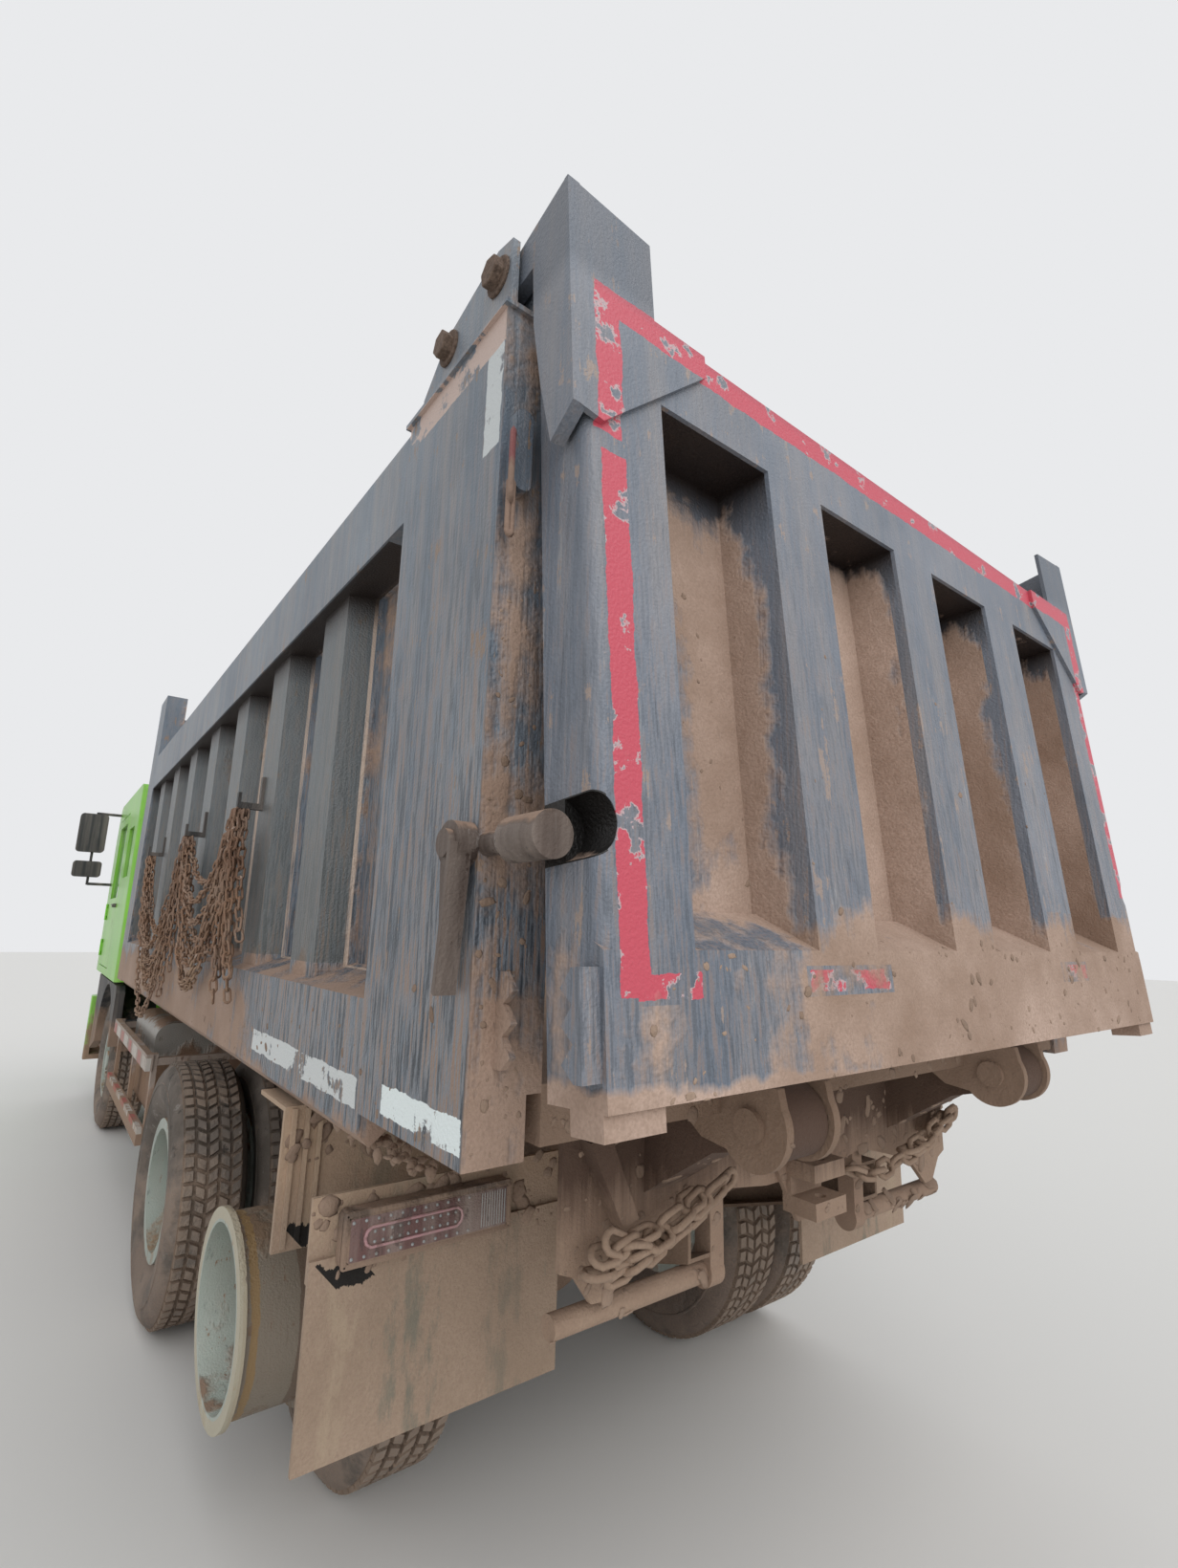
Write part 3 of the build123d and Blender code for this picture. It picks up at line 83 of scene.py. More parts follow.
def add(tree, kind, inputs=None, out=0, **settings):
    """Add a shader node with its settings, its inputs set or linked, and give back one output or all."""
    made = tree.nodes.new("ShaderNode" + kind)
    for key, value in settings.items():
        setattr(made, key, value)
    for key, value in (inputs or {}).items():
        if isinstance(value, bpy.types.NodeSocket):
            tree.links.new(value, made.inputs[key])
        else:
            made.inputs[key].default_value = value
    return made.outputs if out is None else made.outputs[out]


def blank(name):
    """New material with an empty node tree."""
    made = bpy.data.materials.new(name)
    made.use_nodes = True
    made.node_tree.nodes.clear()
    return made


def even_finish(name, inputs):
    """Material that is the same all over."""
    made = blank(name)
    shader = add(made.node_tree, "BsdfPrincipled", inputs)
    add(made.node_tree, "OutputMaterial", {"Surface": shader}, out=None)
    return made


sky = bpy.data.worlds.new("overcast")
bpy.context.scene.world = sky
sky.use_nodes = True
sky.node_tree.nodes.clear()
path = add(sky.node_tree, "LightPath", out=None)
seen = add(sky.node_tree, "Math", {0: path["Is Camera Ray"], 1: path["Is Transmission Ray"]},
           operation="MAXIMUM")
mirrored = add(sky.node_tree, "Math", {0: seen, 1: path["Is Glossy Ray"]}, operation="MAXIMUM")
dome = add(sky.node_tree, "Background", {"Color": linear("#e8ebef"), "Strength": 0.76})
backdrop = add(sky.node_tree, "Background", {"Color": linear("#e9eaec"), "Strength": 1.0})
either = add(sky.node_tree, "MixShader", {0: mirrored, 1: dome, 2: backdrop})
add(sky.node_tree, "OutputWorld", {"Surface": either}, out=None)

suns = [("soft_lamp", 1.25, 0.9, Euler([math.radians(turn) for turn in (38, -24, -60)]).to_matrix()),
        ("low_fill", 0.88, 1.2, Vector((-4.6, 3.4, 0.7)).to_track_quat("Z", "Y").to_matrix())]
for name, energy, softness, turn in suns:
    sun = bpy.data.objects.new(name, bpy.data.lights.new(name, "SUN"))
    bpy.context.scene.collection.objects.link(sun)
    sun.data.energy = energy
    sun.data.angle = softness
    sun.matrix_world = turn.to_4x4()

# Matt pale concrete, which shows nothing but the lorry's own shadow.
concrete = even_finish("pale_floor", {"Base Color": linear("#dcdad6"), "Roughness": 0.85})
bpy.ops.object.select_all(action="DESELECT")
bpy.ops.mesh.primitive_plane_add(size=90, location=(0, 0, -0.002))
floor = bpy.context.object
floor.name = "studio_floor"
floor.data.materials.append(concrete)
bpy.context.scene.view_settings.view_transform = "Standard"


# Dump body: floor, sides, front wall and corner posts
# Welded from pressed steel sheet and sprayed with slate blue enamel. Rubble has scratched it
# upright, the low parts are caked with tan mud, and rust shows where the enamel has gone.

def weathered(name, paint, paler, chip, mud, mud_top=0.2, mud_fade=0.5, mud_more=0.0, wear=0.5, gloss=0.45,
              metal=0.0, upright=(26, 26, 1.4), film=0.3, wet="#957c6b", combed=0.0, lying=0.36,
              marks=None, soil=None, over=None):
    """Enamel with upright scratches and chips, under a film of dust and mud that thickens downwards.

    mud_top and mud_fade are heights in metres, gloss is the clean surface's roughness and wear the
    share that is scratched. combed is how strongly rubble has combed it tan and dark; lying is how
    much mud lies on what faces up. marks(tree, place, colour, flake) paints stripes on the enamel,
    and on the gate painted shade too; soil(tree, place) says where more mud lies than height alone
    gives; and over(tree, place, colour, streak) stains the mud, and on some pieces lays painted
    light and painted shade over it.
    """
    made = blank(name)
    tree = made.node_tree
    texture = add(tree, "TexCoord", out=None)
    place = texture["Object"]
    height = add(tree, "SeparateXYZ", {"Vector": place}, out="Z")

    # A scale is cells to the metre: patches of 590 mm, clumps of 240 mm, flakes of 90 mm and grit of
    # 6 mm. Upright scratches are 24 mm by 450 mm and runs 70 mm by 1.3 m, with finer ones inside them.
    broad = add(tree, "TexNoise", {"Vector": place, "Scale": 1.7, "Detail": 6.0, "Roughness": 0.62})
    clump = add(tree, "TexNoise", {"Vector": place, "Scale": 4.2, "Detail": 5.0, "Roughness": 0.65})
    flake = add(tree, "TexNoise", {"Vector": place, "Scale": 11.0, "Detail": 6.0, "Roughness": 0.7})
    grit = add(tree, "TexNoise", {"Vector": place, "Scale": 160.0, "Detail": 3.0})
    stretched = add(tree, "Mapping", {"Vector": place, "Scale": upright})
    streak = add(tree, "TexNoise", {"Vector": stretched, "Scale": 1.6, "Detail": 6.0, "Roughness": 0.72})
    runs = add(tree, "TexNoise", {"Vector": stretched, "Scale": 0.55, "Detail": 4.0, "Roughness": 0.6})

    # The enamel: two close tones, a washed-down film of dust, pale scratches and dark gouges.
    tone = add(tree, "MapRange", {"Value": broad, "From Min": 0.3, "From Max": 0.7})
    sprayed = add(tree, "Mix", {0: tone, 6: linear(paint), 7: linear(paler)}, out=2, data_type="RGBA")
    washed = add(tree, "MapRange", {"Value": runs, "From Min": 0.42, "From Max": 0.68, "To Max": film})
    dusty = add(tree, "Mix", {0: washed, 6: sprayed, 7: linear("#a1948a")}, out=2, data_type="RGBA")
    scratch = add(tree, "MapRange", {"Value": streak, "From Min": 0.6, "From Max": 0.67, "To Max": wear})
    gouge = add(tree, "MapRange", {"Value": streak, "From Min": 0.4, "From Max": 0.34, "To Max": wear})
    if combed:
        rubbed = add(tree, "MapRange", {"Value": height, "From Min": 3.0, "From Max": 1.7, "To Min": 0.3})
        scratch = add(tree, "Math", {0: scratch, 1: rubbed}, operation="MULTIPLY")
        gouge = add(tree, "Math", {0: gouge, 1: rubbed}, operation="MULTIPLY")
    pale = add(tree, "Mix", {0: 0.5, 6: linear(paler), 7: linear("#c4bfb9")}, out=2, data_type="RGBA")
    scratched = add(tree, "Mix", {0: scratch, 6: dusty, 7: pale}, out=2, data_type="RGBA")
    deep = add(tree, "Mix", {0: 0.62, 6: linear(paint), 7: linear("#1c1d20")}, out=2, data_type="RGBA")
    scored = add(tree, "Mix", {0: gouge, 6: scratched, 7: deep}, out=2, data_type="RGBA")
    if combed:
        # The comb left by rubble is finer than the scratches: 8 mm by 155 mm.
        comb = add(tree, "TexNoise", {"Vector": stretched, "Scale": 4.6, "Detail": 5.0, "Roughness": 0.68})
        low_down = add(tree, "MapRange", {"Value": height, "From Min": 3.0, "From Max": 1.6,
                                          "To Min": 0.12 * combed, "To Max": combed})
        for low, high, tint in ((0.52, 0.6, "#8d7464"), (0.50, 0.42, "#3a3f46")):
            teeth = add(tree, "MapRange", {"Value": comb, "From Min": low, "From Max": high})
            share = add(tree, "Math", {0: teeth, 1: low_down}, operation="MULTIPLY")
            scored = add(tree, "Mix", {0: share, 6: scored, 7: linear(tint)}, out=2, data_type="RGBA")
    both = add(tree, "Math", {0: flake, 1: streak}, operation="ADD")
    bare = add(tree, "MapRange", {"Value": both, "From Min": 1.16, "From Max": 1.19,
                                  "To Max": min(1.0, wear + 0.35)})
    clean = add(tree, "Mix", {0: bare, 6: scored, 7: linear(chip)}, out=2, data_type="RGBA")
    if marks:
        clean = marks(tree, place, clean, flake)

    # The mud: how much there is, then a ragged edge, then its own tones and grit.
    facing = add(tree, "SeparateXYZ", {"Vector": texture["Normal"]}, out="Z")
    settled = add(tree, "MapRange", {"Value": facing, "From Min": 0.3, "From Max": 0.9, "To Max": lying})
    low = add(tree, "MapRange", {"Value": height, "From Min": mud_top, "From Max": mud_top - mud_fade,
                                 "To Max": 0.9})
    amount = add(tree, "Math", {0: low, 1: settled}, operation="MAXIMUM")
    if soil:
        amount = add(tree, "Math", {0: amount, 1: soil(tree, place)}, operation="MAXIMUM")
    ragged = add(tree, "Math", {0: runs, 1: 0.5, 2: clump}, operation="MULTIPLY_ADD")
    edge = add(tree, "Math", {0: amount, 1: ragged}, operation="ADD")
    cover = add(tree, "MapRange", {"Value": edge, "From Min": 0.98 - mud_more, "From Max": 1.14 - mud_more})
    blotch = add(tree, "MapRange", {"Value": broad, "From Min": 0.35, "From Max": 0.62})
    mottle = add(tree, "Mix", {0: blotch, 6: linear(mud), 7: linear(wet)}, out=2, data_type="RGBA")
    gritty = add(tree, "MapRange", {"Value": grit, "From Min": 0.35, "From Max": 0.7, "To Max": 0.5})
    mud_tone = add(tree, "Mix", {0: gritty, 6: mottle, 7: linear("#8b7565")}, out=2, data_type="RGBA")
    muddy = add(tree, "Mix", {0: cover, 6: clean, 7: mud_tone}, out=2, data_type="RGBA")
    if over:
        muddy = over(tree, place, muddy, streak)

    # Mud is matt and stands out in lumps; the enamel keeps its own gloss.
    damp = add(tree, "MapRange", {"Value": cover, "To Min": gloss, "To Max": 0.92})
    lumps = add(tree, "Math", {0: cover, 1: clump}, operation="MULTIPLY")
    crumbs = add(tree, "Math", {0: flake, 1: cover, 2: lumps}, operation="MULTIPLY_ADD")
    relief = add(tree, "Math", {0: crumbs, 1: 3.0, 2: grit}, operation="MULTIPLY_ADD")
    bump = add(tree, "Bump", {"Height": relief, "Strength": 0.5, "Distance": 0.005})
    shader = add(tree, "BsdfPrincipled", {"Base Color": muddy, "Roughness": damp, "Normal": bump,
                                          "Metallic": metal})
    add(tree, "OutputMaterial", {"Surface": shader}, out=None)
    return made


def window(tree, across, up, box):
    """1 inside an upright rectangle given as (left, right, low, high), 0 outside it."""
    left, right, low, high = box
    wide = add(tree, "Math", {0: across, 1: (left + right) / 2, 2: (right - left) / 2}, operation="COMPARE")
    tall = add(tree, "Math", {0: up, 1: (low + high) / 2, 2: (high - low) / 2}, operation="COMPARE")
    return add(tree, "Math", {0: wide, 1: tall}, operation="MULTIPLY")


def stained(tree, colour, tint, share, *others):
    """Colour with a tint over it, as thick as all the shares multiplied."""
    for other in others:
        share = add(tree, "Math", {0: share, 1: other}, operation="MULTIPLY")
    return add(tree, "Mix", {0: share, 6: colour, 7: linear(tint)}, out=2, data_type="RGBA")


def dress(material, *names):
    """Give carried-over CAD pieces one finish."""
    for name in names:
        nodes[name].data.materials.clear()
        nodes[name].data.materials.append(material)


# How far out the sheet, the ribs' flanks, the top rail and the outermost faces stand, where the posts
# end at the rear, and where the first bay between two ribs begins, in metres.
sheet_y, rib_y, rail_y, outermost_y = 1.128, 1.236, 1.244, 1.247
post_rear, first_bay = -3.999, -3.4


def side_marks(tree, place, colour, flake):
    """White tape along the sill and down the post's edge, and the pale band under the cap."""
    axes = add(tree, "SeparateXYZ", {"Vector": place}, out=None)
    frayed = add(tree, "Math", {0: flake, 1: 0.03, 2: -0.015}, operation="MULTIPLY_ADD")
    along = add(tree, "Math", {0: axes["X"], 1: frayed}, operation="ADD")
    up = add(tree, "Math", {0: axes["Z"], 1: frayed}, operation="ADD")
    outer = add(tree, "Math", {0: axes["Y"], 1: outermost_y}, operation="GREATER_THAN")
    tapes = [((-3.509, -2.589, 1.376, 1.439), "#c9cccb", 0.6),
             ((-3.989, -3.649, 1.395, 1.450), "#e4eceb", 0.58),
             ((-3.992, -3.925, 2.725, 3.04), "#c2c6c6", 0.6),
             ((post_rear, -3.509, 2.965, 3.044), "#bda79c", 0.55)]
    for box, tint, kept in tapes:
        inside = window(tree, along, up, box)
        stuck = add(tree, "MapRange", {"Value": flake, "From Min": kept, "From Max": kept - 0.03})
        colour = stained(tree, colour, tint, inside, outer, stuck)
    return colour


def side_soil(tree, place):
    """Dust on the sheet between the ribs and inside the body, mud on the rear faces of the posts."""
    axes = add(tree, "SeparateXYZ", {"Vector": place}, out=None)
    out = add(tree, "Math", {0: axes["Y"]}, operation="ABSOLUTE")
    sheet = add(tree, "MapRange", {"Value": out, "From Min": 1.2, "From Max": 1.12, "To Max": 0.26})
    rear = add(tree, "MapRange", {"Value": axes["X"], "From Min": -3.985, "From Max": -3.997, "To Max": 0.3})
    sill = add(tree, "MapRange", {"Value": axes["Z"], "From Min": 1.72, "From Max": 1.64, "To Max": 0.34})
    ledge = add(tree, "Math", {0: out, 1: 1.243}, operation="LESS_THAN")
    caked = add(tree, "Math", {0: sill, 1: ledge}, operation="MULTIPLY")
    ahead = add(tree, "MapRange", {"Value": axes["X"], "From Min": -2.9, "From Max": -2.2, "To Max": 0.46})
    low = add(tree, "MapRange", {"Value": axes["Z"], "From Min": 1.66, "From Max": 1.5})
    most = add(tree, "Math", {0: ahead, 1: low}, operation="MULTIPLY")
    for part in (sheet, rear, caked):
        most = add(tree, "Math", {0: most, 1: part}, operation="MAXIMUM")
    return most


def side_dust_painted_light_and_shade(tree, place, colour, streak):
    """Tan dust on the sheet between the ribs, painted paler as painted light; ribs' flanks greyed, partly by
    dirt and partly as painted shade; and painted shade, clay brown, close under the top rail.
    """
    axes = add(tree, "SeparateXYZ", {"Vector": place}, out=None)
    out = add(tree, "Math", {0: axes["Y"]}, operation="ABSOLUTE")
    worn = add(tree, "MapRange", {"Value": streak, "From Min": 0.3, "From Max": 0.5})
    shade = add(tree, "MapRange", {"Value": axes["Z"], "From Min": 2.66, "From Max": 2.765})
    between = add(tree, "Math", {0: axes["X"], 1: first_bay}, operation="GREATER_THAN")
    # The pale tan on the sheet is dust painted paler as painted light, the grey on the ribs' flanks is partly
    # dirt and partly painted shade, and the clay-brown band close under the top rail is painted shade.
    dust_light_and_shade_tints = [((sheet_y, 1.139, 1.50, 2.80), "#c9b3a1", 0.85, worn),
             ((1.139, rib_y, 1.66, 2.80), "#575a56", 0.6, 1.0),
             ((sheet_y, rail_y, 2.60, 2.80), "#22150e", 0.92, shade)]
    for box, tint, share, ragged in dust_light_and_shade_tints:
        inside = window(tree, out, axes["Z"], box)
        colour = stained(tree, colour, tint, inside, share, between, ragged)
    return colour


# Slate enamel, satin where it is sound: the blue shows in upright streaks between pale scratches,
# dark gouges and tan dust, and goes under the mud towards the sill. On the sides the dust on the
# sheet is painted paler as painted light, and the ribs' flanks and the sheet under the top rail
# carry painted shade.
body_enamel = weathered("slate_enamel_on_body", "#5b6672", "#79838d", "#85705f", "#ae9585", mud_top=1.40,
                        mud_fade=0.2, wear=0.6, film=0.4, combed=1.0, marks=side_marks, soil=side_soil,
                        over=side_dust_painted_light_and_shade)
# Steel scoured bare by rubble and gone brown, dull under a coat of dry mud.
floor_steel = weathered("scoured_floor_steel", "#5a5049", "#7a6a5c", "#6b4a38", "#9a8270", mud_top=3.0,
                        mud_fade=1.0, mud_more=0.1, wear=0.6, wet="#7d6654")
dress(body_enamel, "bed_side_left", "bed_side_right", "bed_front")
dress(floor_steel, "bed_floor")


# Tailgate
# One ribbed steel door hung from two ears at its top corners. Slate blue enamel on the frame and
# ribs, red stripes that have peeled away in patches, and dried mud sitting in the bays.

# The gate turns on a pin ahead of the posts' rear faces and stands a little ajar. Its patterns are
# laid out as if it were shut, with X measured from those faces, in metres.
ajar = math.radians(4.56)
pin = Vector((0.048, 0, 3.156))
unswung = Matrix.Rotation(-ajar, 3, "Y")
shut_shift = pin - unswung @ (pin - Vector((-post_rear, 0, 0)))
gate_face, bays_half_width = -0.155, 0.99
lower_rail = (1.632, 1.688)


def on_shut_gate(tree, place):
    """Place on the gate as it is when shut, measured from the posts' rear faces, and its axes."""
    shut = add(tree, "Mapping", {"Vector": place, "Rotation": (0, -ajar, 0), "Location": shut_shift})
    return shut, add(tree, "SeparateXYZ", {"Vector": shut}, out=None)


def gate_marks_and_painted_shade(tree, place, colour, flake):
    """Red paint stripes round the gate's edge, flaked off to a pale primer in patches, with painted shade in
    the lock pocket and under the top rail.
    """
    shut, axes = on_shut_gate(tree, place)
    frayed = add(tree, "Math", {0: flake, 1: 0.024, 2: -0.012}, operation="MULTIPLY_ADD")
    across = add(tree, "Math", {0: axes["Y"], 1: frayed}, operation="ADD")
    up = add(tree, "Math", {0: axes["Z"], 1: frayed}, operation="ADD")
    face = add(tree, "Math", {0: axes["X"], 1: gate_face}, operation="LESS_THAN")
    chips = add(tree, "TexNoise", {"Vector": shut, "Scale": 14.0, "Detail": 6.0, "Roughness": 0.62})
    stripes = [((-1.18, 1.166, 2.935, 3.003), 0.4), ((1.102, 1.165, 2.66, 2.98), 0.42),
               ((1.090, 1.150, 2.1, 2.62), 0.42), ((1.090, 1.150, 1.645, 2.1), 0.47),
               ((0.975, 1.117, 1.640, 1.680), 0.5), ((0.41, 0.684, 1.640, 1.680), 0.47),
               ((-0.68, -0.51, 1.640, 1.680), 0.5), ((-1.18, -1.12, 1.9, 2.95), 0.46)]
    for box, gone in stripes:
        inside = window(tree, across, up, box)
        primer = add(tree, "MapRange", {"Value": chips, "From Min": gone - 0.03, "From Max": gone - 0.02})
        sprayed = add(tree, "MapRange", {"Value": chips, "From Min": gone, "From Max": gone + 0.01})
        colour = stained(tree, colour, "#b79ea0", inside, face, primer)
        colour = stained(tree, colour, "#c04a5a", inside, face, sprayed)

    # The pocket in the gate's edge that takes the lock rod is painted dark inside: painted shade in the hole.
    pocket_y, pocket_z, pocket_radius = 1.2, 1.912, 0.0575
    out = add(tree, "Math", {0: axes["Y"]}, operation="ABSOLUTE")
    sideways = add(tree, "Math", {0: out, 1: pocket_y}, operation="SUBTRACT")
    upwards = add(tree, "Math", {0: axes["Z"], 1: pocket_z}, operation="SUBTRACT")
    flat = add(tree, "CombineXYZ", {"X": sideways, "Y": upwards})
    away = add(tree, "VectorMath", {0: flat}, out="Value", operation="LENGTH")
    near = add(tree, "Math", {0: away, 1: pocket_radius}, operation="LESS_THAN")
    sunk = add(tree, "Math", {0: axes["X"], 1: gate_face - 0.003}, operation="GREATER_THAN")
    colour = stained(tree, colour, "#0d0a08", near, sunk)

    # Painted shade, with dark dirt in it, lies in the bays under the top rail, and the ears above it are dull
    # and nearly black.
    painted_shade_under_rail = add(tree, "MapRange", {"Value": up, "From Min": 2.64, "From Max": 2.8, "To Max": 0.97})
    recessed = add(tree, "Math", {0: axes["X"], 1: gate_face + 0.005}, operation="GREATER_THAN")
    between = add(tree, "Math", {0: axes["Y"], 1: 0.0, 2: bays_half_width}, operation="COMPARE")
    colour = stained(tree, colour, "#1d120c", painted_shade_under_rail, recessed, between)
    horn = add(tree, "MapRange", {"Value": axes["Z"], "From Min": 2.98, "From Max": 3.04, "To Max": 0.5})
    return add(tree, "Mix", {0: horn, 6: colour, 7: linear("#3a4450")}, out=2, data_type="RGBA")


def gate_soil(tree, place):
    """Mud in the bays, on the ledge and on the lower rail, thicker towards the right."""
    axes = on_shut_gate(tree, place)[1]
    bay = add(tree, "MapRange", {"Value": axes["X"], "From Min": -0.14, "From Max": -0.05, "To Max": 0.4})
    rightward = add(tree, "MapRange", {"Value": axes["Y"], "From Min": 1.0, "From Max": 0.35, "To Max": 0.46})
    below = add(tree, "Math", {0: axes["Z"], 1: 1.83}, operation="LESS_THAN")
    rail = add(tree, "Math", {0: below, 1: 0.16, 2: rightward}, operation="MULTIPLY_ADD")
    shelf = add(tree, "MapRange", {"Value": axes["Z"], "From Min": 1.9, "From Max": 1.7})
    caked = add(tree, "Math", {0: rail, 1: shelf}, operation="MULTIPLY")
    bays = add(tree, "Math", {0: rightward, 1: 0.7, 2: bay}, operation="MULTIPLY_ADD")
    recessed = add(tree, "Math", {0: axes["X"], 1: gate_face + 0.025}, operation="GREATER_THAN")
    between = add(tree, "Math", {0: axes["Y"], 1: 0.0, 2: bays_half_width}, operation="COMPARE")
    lower = add(tree, "MapRange", {"Value": axes["Z"], "From Min": 2.84, "From Max": 2.66})
    for limit in (recessed, between, lower):
        bays = add(tree, "Math", {0: bays, 1: limit}, operation="MULTIPLY")
    most = add(tree, "Math", {0: caked, 1: bays}, operation="MAXIMUM")

    # Mud has been knocked off the stripes on the lower rail.
    for left, right in ((0.965, 1.125), (0.40, 0.694), (-0.69, -0.50)):
        taped = window(tree, axes["Y"], axes["Z"], (left, right, *lower_rail))
        rubbed = add(tree, "Math", {0: taped, 1: -0.45, 2: 1.0}, operation="MULTIPLY_ADD")
        most = add(tree, "Math", {0: most, 1: rubbed}, operation="MULTIPLY")
    return most


# The same slate enamel, less combed than the sides: greyer, with more of the pale primer showing.
gate_enamel = weathered("slate_enamel_on_gate", "#5f6874", "#7b808a", "#93837a", "#bfa697", mud_top=1.56,
                        mud_fade=0.08, wear=0.65, combed=0.45, marks=gate_marks_and_painted_shade, soil=gate_soil)
dress(gate_enamel, "tailgate")


# Chassis frame, cross member, axles and springs
# Pressed channel and castings in chassis black that can hardly be seen: the wheels have thrown
# wet clay over all of it, and it has dried to a pale brown crust.

def damp_clay_and_hole_shade(tree, place, colour, streak):
    """Dark wet clay high on the cross member, and painted shade, nearly black, in the square hole through it.
    """
    axes = add(tree, "SeparateXYZ", {"Vector": place}, out=None)
    shifted = add(tree, "Math", {0: streak, 1: 0.22, 2: axes["Z"]}, operation="MULTIPLY_ADD")
    high = add(tree, "MapRange", {"Value": shifted, "From Min": 1.21, "From Max": 1.33, "To Max": 0.85})
    colour = add(tree, "Mix", {0: high, 6: colour, 7: linear("#48342a")}, out=2, data_type="RGBA")
    # The square hole is painted nearly black: painted shade, not a colour of the steel.
    painted_shade_in_hole = window(tree, axes["Y"], axes["Z"], (0.434, 0.466, 1.178, 1.208))
    return add(tree, "Mix", {0: painted_shade_in_hole, 6: colour, 7: linear("#080605")}, out=2, data_type="RGBA")


# Three crusts of the same clay over chassis black, all matt and lumpy: damp and two-toned on the
# cross member, browner on the frame, and darkest on the castings, whose black shows through.
wet_crust = weathered("wet_clay_on_cross_member", "#5a4a3e", "#7a6655", "#6b4a38", "#a58d79", mud_top=2.6,
                      mud_fade=1.0, mud_more=0.1, wear=0.3, gloss=0.7, wet="#8a7160", over=damp_clay_and_hole_shade)
frame_crust = weathered("clay_crust_on_frame", "#4a3f36", "#6b5a4b", "#6b4a38", "#927b68", mud_top=2.6,
                        mud_fade=1.0, mud_more=0.1, wear=0.3, gloss=0.7, wet="#5e4b3c")
cast_crust = weathered("clay_crust_on_castings", "#332d29", "#4b4038", "#5e4030", "#7d6756", mud_top=2.4,
                       mud_fade=1.0, mud_more=0.08, wear=0.3, gloss=0.7, wet="#4c3d32")
dress(frame_crust, "frame", "cab_mounts", "hoist_cradle")
dress(wet_crust, "rear_cross_member")
dress(cast_crust, "rear_axles", "rear_springs", "front_axle", "front_springs", "engine", "driveline",
      "knuckle_left", "knuckle_right")


# Cab
# Pressed steel shell in lime green enamel, its trim in grained black plastic, all under a film
# of road dust.

# Bright gloss enamel, clean above and dusty only towards the sills and the bumper.
lime_enamel = weathered("lime_enamel_on_cab", "#68b41e", "#82c63c", "#5b8f22", "#93795f", mud_top=1.0,
                        mud_fade=0.95, wear=0.12, gloss=0.3, lying=0.1)
# Moulded black plastic, with a grain too fine to show that leaves it dull.
black_trim = weathered("grained_black_trim", "#1c1d1f", "#2b2b2c", "#3c3631", "#6f5c4b", mud_top=1.1,
                       mud_fade=0.6, wear=0.15, gloss=0.6, lying=0.2)
# Woven cloth, dark grey with no gloss at all.
seat_cloth = weathered("woven_seat_cloth", "#2a2c30", "#383a3f", "#2a2c30", "#4a443d", mud_fade=0.2,
                       wear=0.05, gloss=0.95)
# Faintly green tinted glass, which mirrors the sky and darkens the cab behind it.
tinted = even_finish("tinted_cab_glass", {"Base Color": linear("#9fb0ae"), "Roughness": 0.06,
                                          "Transmission Weight": 0.85, "IOR": 1.45})
dress(lime_enamel, "cab_shell", "door_left", "door_right", "bumper")
dress(black_trim, "visor", "grille", "dashboard", "mirrors", "front_fenders")
dress(seat_cloth, "seats")
dress(tinted, "cab_glass", "door_glass_left", "door_glass_right")


# Black metal, tanks, guards, flaps and hoist
# Pieces bolted to the chassis and the body: painted iron, rusty forged locks, an alloy tank, steel
# guard rails with tape and rubber flaps, all under the same clay, and the hoist's chromed tubes.

# Black paint worn to bare iron on its edges, satin where it is clean.
black_iron = weathered("worn_black_iron", "#232323", "#35322f", "#5c4334", "#7d654f", mud_top=1.3,
                       mud_fade=0.8, mud_more=0.05, wear=0.3, gloss=0.55)
# Forged steel that has never been painted: brown and dull with rust.
lock_steel = weathered("rusty_lock_steel", "#3f3733", "#57473e", "#33231b", "#7d6657", mud_top=1.0,
                       mud_fade=0.6, mud_more=0.06, wear=0.5, gloss=0.7, film=0.4)
# Rolled aluminium sheet, a dull grey metal gone cloudy with oxide.
tank_alloy = weathered("dull_tank_alloy", "#8d8983", "#a39f98", "#6f675e", "#8b6f56", mud_top=1.1,
                       mud_fade=0.5, mud_more=0.05, wear=0.4, gloss=0.45, metal=0.6)
# Hard chrome ground smooth, which mirrors the pale studio.
chrome_rod = even_finish("chromed_hoist_rod", {"Base Color": linear("#c9cbce"), "Metallic": 1.0,
                                               "Roughness": 0.16})
dress(black_iron, "radiator", "battery_box", "exhaust", "chain_hooks", "hoist_tube")
dress(lock_steel, "lock_levers")
dress(tank_alloy, "fuel_tank")
dress(chrome_rod, "hoist_stage_1", "hoist_stage_2", "hoist_stage_3")


def guard_tape(tree, place, colour, streak):
    """Red and white tape along the guard rails, repeating every 500 mm, half hidden by dust."""
    axes = add(tree, "SeparateXYZ", {"Vector": place}, out=None)
    out = add(tree, "Math", {0: axes["Y"]}, operation="ABSOLUTE")
    outer = add(tree, "Math", {0: out, 1: 1.2}, operation="GREATER_THAN")
    kept = add(tree, "MapRange", {"Value": streak, "From Min": 0.56, "From Max": 0.5, "To Max": 0.7})
    fifths = add(tree, "Math", {0: axes["X"], 1: 5.0}, operation="MULTIPLY")
    along = add(tree, "Math", {0: fifths, 1: 2.5, 2: 0.0}, operation="WRAP")
    for left, right, tint in ((0.15, 0.95, "#b04a48"), (1.3, 2.4, "#c9c5bd")):
        inside = window(tree, along, axes["Z"], (left, right, 0.6, 1.0))
        colour = stained(tree, colour, tint, inside, outer, kept)
    return colour


# Grey paint gone chalky, with more dust than paint to be seen.
guard_paint = weathered("guard_rail_paint", "#8a7a70", "#a39488", "#6b4a38", "#8f755c", mud_top=1.0,
                        mud_fade=0.5, mud_more=0.05, wear=0.4, gloss=0.6, over=guard_tape)
dress(guard_paint, "side_guard_left", "side_guard_right")


